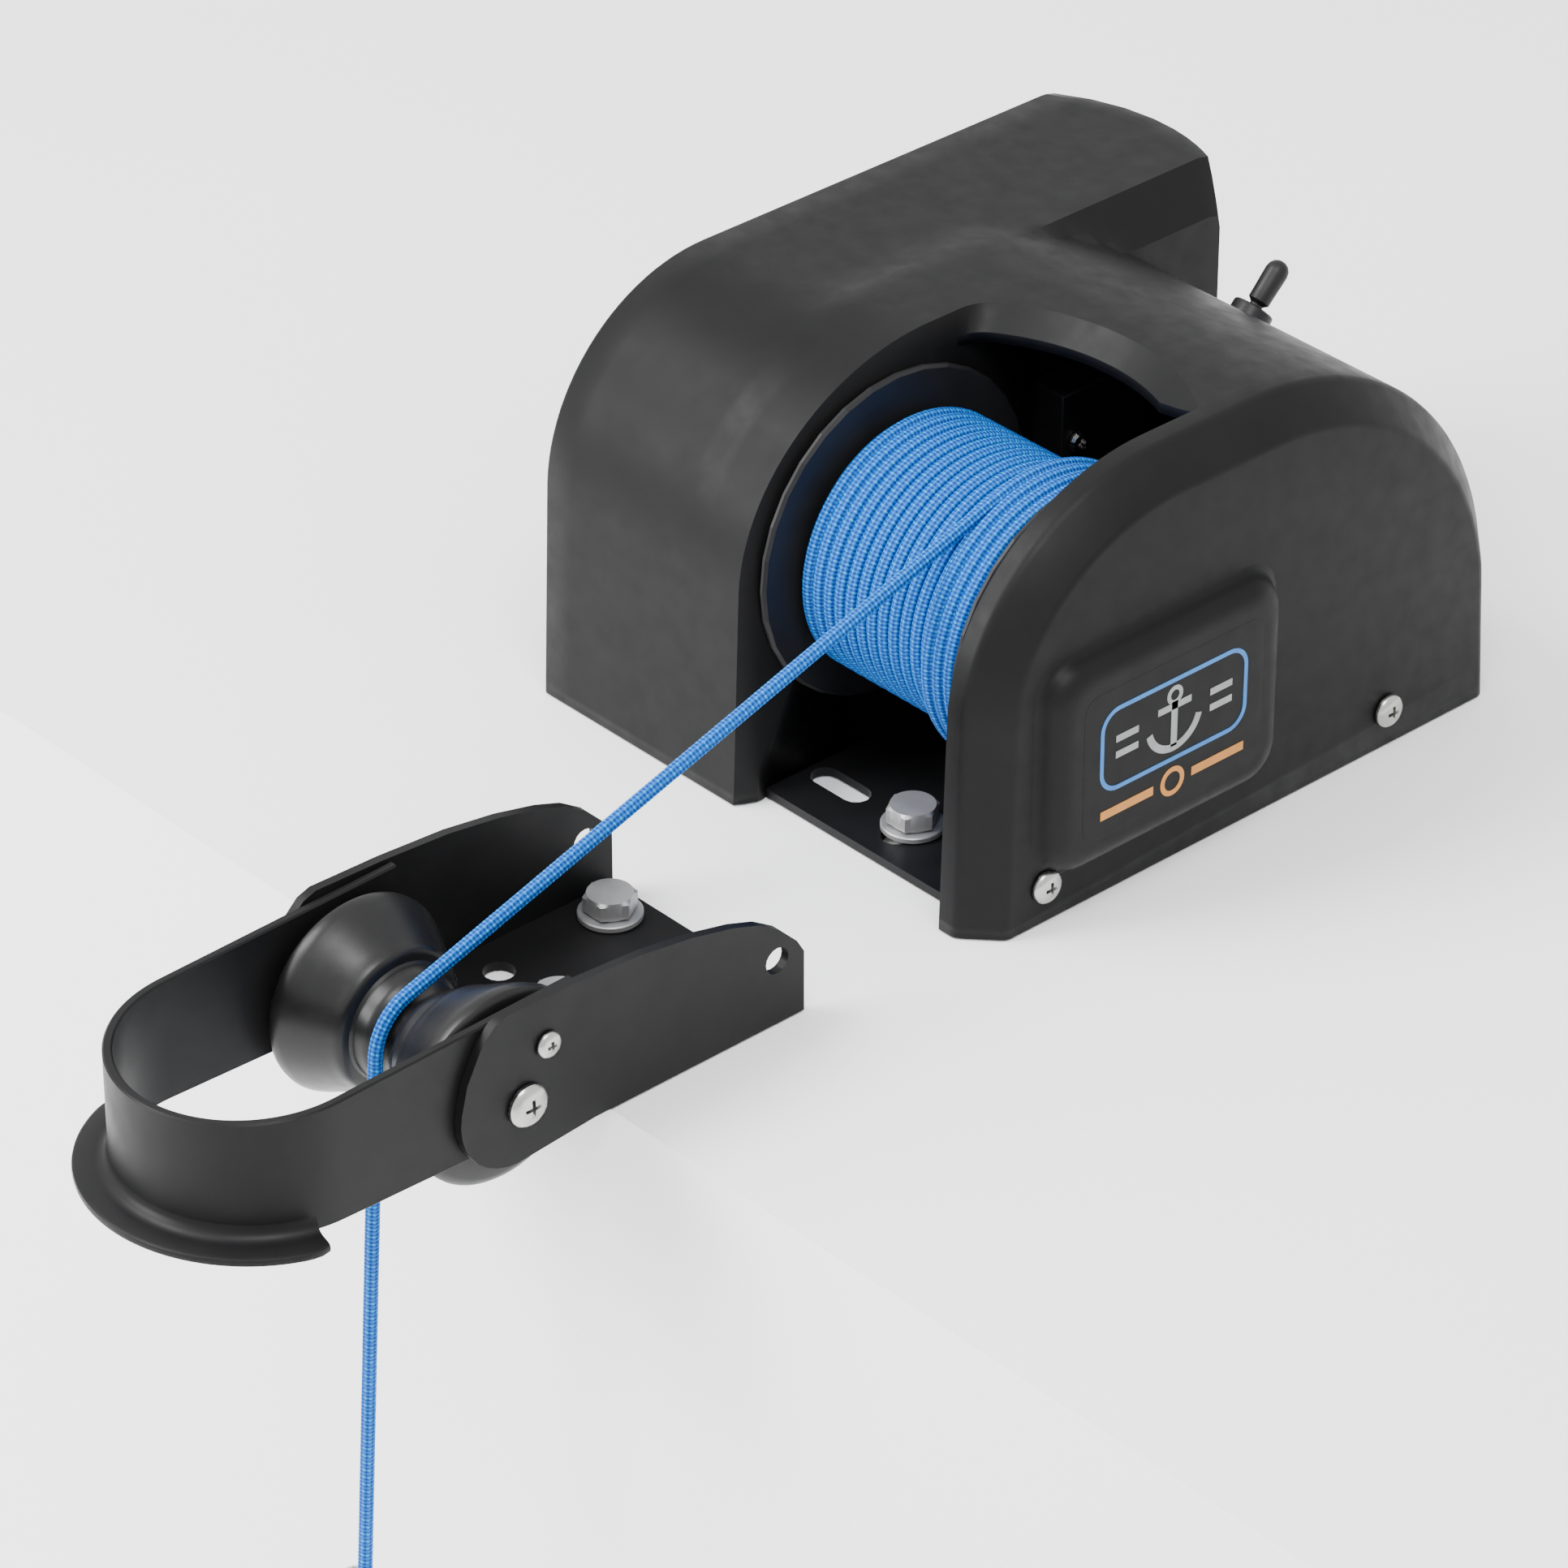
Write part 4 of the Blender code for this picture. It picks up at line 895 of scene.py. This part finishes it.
def mottle(tree, source, scale, low, high, detail=4.0):
    """Colour that wanders between two shades."""
    noise = tree.nodes.new("ShaderNodeTexNoise")
    noise.inputs["Scale"].default_value = scale
    noise.inputs["Detail"].default_value = detail
    tree.links.new(source, noise.inputs["Vector"])
    ramp = tree.nodes.new("ShaderNodeValToRGB")
    ramp.color_ramp.elements[0].position = 0.35
    ramp.color_ramp.elements[1].position = 0.68
    ramp.color_ramp.elements[0].color = (*low, 1.0)
    ramp.color_ramp.elements[1].color = (*high, 1.0)
    tree.links.new(noise.outputs["Fac"], ramp.inputs["Fac"])
    return ramp.outputs["Color"]


def rough_range(tree, source, scale, low, high):
    noise = tree.nodes.new("ShaderNodeTexNoise")
    noise.inputs["Scale"].default_value = scale
    tree.links.new(source, noise.inputs["Vector"])
    spread = tree.nodes.new("ShaderNodeMapRange")
    spread.inputs["From Min"].default_value = 0.3
    spread.inputs["From Max"].default_value = 0.7
    spread.inputs["To Min"].default_value = low
    spread.inputs["To Max"].default_value = high
    tree.links.new(noise.outputs["Fac"], spread.inputs["Value"])
    return spread.outputs["Result"]


def grain(tree, source, scale, strength, distance):
    noise = tree.nodes.new("ShaderNodeTexNoise")
    noise.inputs["Scale"].default_value = scale
    noise.inputs["Detail"].default_value = 3.0
    tree.links.new(source, noise.inputs["Vector"])
    bump = tree.nodes.new("ShaderNodeBump")
    bump.inputs["Strength"].default_value = strength
    bump.inputs["Distance"].default_value = distance
    tree.links.new(noise.outputs["Fac"], bump.inputs["Height"])
    return bump.outputs["Normal"]


def surface(name, low, high, rough, metallic=0.0, scale=60.0, grain_scale=1400.0, strength=0.2, depth=0.00004,
            shine=0.5):
    """Mottled colour, uneven roughness and a fine grain, all in the object's own coordinates."""
    made, tree, shader = blank(name)
    place = tree.nodes.new("ShaderNodeTexCoord").outputs["Object"]
    tree.links.new(mottle(tree, place, scale, low, high), shader.inputs["Base Color"])
    tree.links.new(rough_range(tree, place, scale * 2.5, *rough), shader.inputs["Roughness"])
    tree.links.new(grain(tree, place, grain_scale, strength, depth), shader.inputs["Normal"])
    shader.inputs["Metallic"].default_value = metallic
    shader.inputs["Specular IOR Level"].default_value = shine
    return made


def braid(name):
    """Blue strands that cross, painted darker in the hollows between them as shade, with pale flecks on the
    strand crowns along a diagonal stripe.
    """
    made, tree, shader = blank(name)
    nodes = tree.nodes
    links = tree.links
    uv = nodes.new("ShaderNodeUVMap")
    uv.uv_map = "braid"
    split = nodes.new("ShaderNodeSeparateXYZ")
    links.new(uv.outputs["UV"], split.inputs["Vector"])

    def calc(operation, a, b=None):
        node = nodes.new("ShaderNodeMath")
        node.operation = operation
        for socket, value in zip(node.inputs, (a, b)):
            if value is None:
                continue
            if isinstance(value, (int, float)):
                socket.default_value = value
            else:
                links.new(value, socket)
        return node.outputs[0]

    along = calc("MULTIPLY", split.outputs["X"], 8 * pi)
    round_it = calc("MULTIPLY", split.outputs["Y"], 8 * pi)
    left = calc("SINE", calc("ADD", round_it, along))
    right = calc("SINE", calc("SUBTRACT", round_it, along))
    weave = calc("MULTIPLY", left, right)
    # Pale flecks along a diagonal stripe, only where it crosses a strand crown.
    fleck_round = calc("MULTIPLY", split.outputs["Y"], 4 * pi)
    fleck_along = calc("MULTIPLY", split.outputs["X"], 8 * pi)
    crown_fleck = calc("SINE", calc("ADD", fleck_round, fleck_along))
    crown_fleck = calc("MULTIPLY", calc("GREATER_THAN", crown_fleck, 0.35), calc("GREATER_THAN", weave, 0.12))
    fibre = nodes.new("ShaderNodeTexNoise")
    fibre.inputs["Scale"].default_value = 900.0
    fibre.inputs["Detail"].default_value = 3.0
    place = nodes.new("ShaderNodeTexCoord").outputs["Object"]
    links.new(place, fibre.inputs["Vector"])
    # Painted shade: the colour runs from dark blue in the hollows of the weave to light blue on the strand
    # crowns, standing in for the shade between strands.
    painted_crevice_shade = nodes.new("ShaderNodeMapRange")
    links.new(weave, painted_crevice_shade.inputs["Value"])
    painted_crevice_shade.inputs["From Min"].default_value = -1.0
    painted_crevice_shade.inputs["From Max"].default_value = 0.7
    base = nodes.new("ShaderNodeMix")
    base.data_type = "RGBA"
    base.inputs["A"].default_value = (0.0, 0.022, 0.15, 1.0)
    base.inputs["B"].default_value = (0.0, 0.14, 0.56, 1.0)
    links.new(painted_crevice_shade.outputs["Result"], base.inputs["Factor"])
    flecked = nodes.new("ShaderNodeMix")
    flecked.data_type = "RGBA"
    flecked.inputs["B"].default_value = (0.008, 0.40, 0.80, 1.0)
    links.new(base.outputs["Result"], flecked.inputs["A"])
    links.new(calc("MULTIPLY", crown_fleck, fibre.outputs["Fac"]), flecked.inputs["Factor"])
    links.new(flecked.outputs["Result"], shader.inputs["Base Color"])
    bump = nodes.new("ShaderNodeBump")
    bump.inputs["Strength"].default_value = 0.6
    bump.inputs["Distance"].default_value = 0.0004
    links.new(calc("ADD", weave, calc("MULTIPLY", fibre.outputs["Fac"], 0.5)), bump.inputs["Height"])
    links.new(bump.outputs["Normal"], shader.inputs["Normal"])
    shader.inputs["Roughness"].default_value = 0.55
    shader.inputs["Specular IOR Level"].default_value = 0.15
    return made


# Darker shade, lighter shade and roughness range of each plain finish, then what is special about it
PLASTIC = {
    "low": (0.0050, 0.0050, 0.0053), "high": (0.0060, 0.0060, 0.0064), "rough": (0.40, 0.50), "shine": 0.13,
}
FINISHES = {
    "moulded_plastic": ("satin_moulded_plastic", PLASTIC),
    "dark_plastic": ("dark_satin_plastic", {
        "low": (0.010, 0.010, 0.011), "high": (0.013, 0.013, 0.014), "rough": (0.34, 0.44), "shine": 0.2}),
    "roller_plastic": ("roller_plastic", {
        "low": (0.006, 0.006, 0.0065), "high": (0.008, 0.008, 0.0085), "rough": (0.30, 0.38),
        "scale": 90.0, "shine": 0.3}),
    "painted_steel": ("satin_black_paint", {
        "low": (0.0060, 0.0060, 0.0064), "high": (0.0075, 0.0075, 0.0080), "rough": (0.36, 0.46),
        "scale": 40.0, "grain_scale": 900.0, "strength": 0.25, "shine": 0.14}),
    "zinc": ("zinc_plate", {
        "low": (0.28, 0.28, 0.285), "high": (0.34, 0.34, 0.345), "rough": (0.36, 0.48),
        "metallic": 0.6, "scale": 120.0}),
    "stainless": ("stainless_steel", {
        "low": (0.40, 0.40, 0.39), "high": (0.50, 0.49, 0.48), "rough": (0.20, 0.30),
        "metallic": 1.0, "scale": 150.0}),
    "steel": ("machined_steel", {
        "low": (0.26, 0.26, 0.27), "high": (0.34, 0.34, 0.35), "rough": (0.28, 0.38),
        "metallic": 1.0, "scale": 150.0}),
    "bronze": ("oiled_bronze", {
        "low": (0.42, 0.27, 0.12), "high": (0.55, 0.36, 0.16), "rough": (0.35, 0.5),
        "metallic": 1.0, "scale": 200.0}),
    "copper": ("copper", {
        "low": (0.62, 0.28, 0.14), "high": (0.76, 0.36, 0.19), "rough": (0.3, 0.45),
        "metallic": 1.0, "scale": 200.0}),
    "magnet": ("ferrite", {
        "low": (0.025, 0.025, 0.026), "high": (0.04, 0.04, 0.042), "rough": (0.5, 0.65)}),
    "rubber": ("black_rubber", {
        "low": (0.006, 0.006, 0.006), "high": (0.009, 0.009, 0.009), "rough": (0.40, 0.55), "shine": 0.25}),
    "badge_film": ("badge_black", PLASTIC),
    "silver_print": ("silver_print", {
        "low": (0.20, 0.205, 0.21), "high": (0.25, 0.255, 0.26), "rough": (0.3, 0.4), "scale": 200.0}),
    "blue_print": ("blue_print", {
        "low": (0.004, 0.12, 0.38), "high": (0.006, 0.15, 0.44), "rough": (0.3, 0.4), "scale": 200.0}),
    "amber_print": ("amber_print", {
        "low": (0.42, 0.16, 0.012), "high": (0.50, 0.19, 0.016), "rough": (0.3, 0.4), "scale": 200.0}),
}


def make_finishes():
    finishes = {slot: surface(name, **look) for slot, (name, look) in FINISHES.items()}
    finishes["rope_fibre"] = braid("braided_rope")
    return finishes


def dress_nodes(finishes):
    """Every CAD node takes the finish of its own material slot."""
    slots = {entry["node"]: entry["material_slot"] for entry in frame["record"]["subparts"]}
    for name, item in frame["nodes"].items():
        item.data.materials.clear()
        item.data.materials.append(finishes[slots[name]])


# ---------------------------------------------------------------- stage

def make_stage():
    """Deck under the winch, ending behind the roller so that the rope hangs free, and a floor below it."""
    pale = surface("pale_floor", (0.93, 0.93, 0.93), (0.95, 0.95, 0.95), (0.7, 0.8), scale=3.0, strength=0.0)

    def sheet(front, rear, z):
        corners = [(-STAGE_REACH, front), (STAGE_REACH, front), (STAGE_REACH, rear), (-STAGE_REACH, rear)]
        return [(x, y, z) for x, y in corners]

    deck = loft("deck", [sheet(DECK_FRONT, STAGE_REAR, z) for z in (DECK_TOP, DECK_BOTTOM)], smooth=False)
    floor = add_mesh("floor", sheet(-STAGE_REAR, DECK_FRONT + 50, FLOOR_Z), [(0, 1, 2, 3)], smooth=False)
    for item in (deck, floor):
        item.data.materials.append(pale)


def area_light(name, place, aim_at, size, power):
    data = bpy.data.lights.new(name, "AREA")
    data.shape = "DISK"
    data.size = size
    data.energy = power
    lamp = bpy.data.objects.new(name, data)
    lamp.location = place
    lamp.rotation_euler = (Vector(aim_at) - Vector(place)).to_track_quat("-Z", "Y").to_euler()
    bpy.context.collection.objects.link(lamp)


def make_light():
    world = bpy.data.worlds.new("studio")
    bpy.context.scene.world = world
    world.use_nodes = True
    background = world.node_tree.nodes["Background"]
    background.inputs["Color"].default_value = (1.0, 1.0, 1.0, 1.0)
    background.inputs["Strength"].default_value = 1.5
    area_light("key", (-0.9, -1.1, 1.7), (0, -0.05, 0.05), 1.1, 52.0)
    area_light("front", (-1.1, -2.2, 0.9), (0, -0.1, 0.06), 1.2, 70.0)
    area_light("top_right", (0.8, -0.6, 1.9), (0, -0.05, 0.08), 1.0, 36.0)


def main():
    make_camera()
    finishes = make_finishes()
    make_rope(finishes["rope_fibre"])
    dress_nodes(finishes)
    make_winding(finishes["rope_fibre"])
    make_cover(finishes["moulded_plastic"])
    make_side_panel(finishes["moulded_plastic"])
    prints = [finishes[name + "_print"] for name in ("silver", "blue", "amber")]
    make_badge(finishes["badge_film"], *prints)
    make_roller(finishes["roller_plastic"])
    make_band(finishes["painted_steel"])
    make_screws(finishes["stainless"])
    for name, place in BOLTS:
        hex_head(name + "_head", name, place, finishes["zinc"])
        washer(name + "_flat_washer", name + "_washer", place, finishes["zinc"])
    make_toggle(finishes["rubber"], finishes["dark_plastic"])
    refined("bow_channel", "winch_and_bow", finishes["painted_steel"])
    refined("base_plate", "winch_and_bow", finishes["painted_steel"])
    refined("electrical_box", "winch_and_bow", finishes["dark_plastic"], 0.8)
    make_stage()
    make_light()


main()
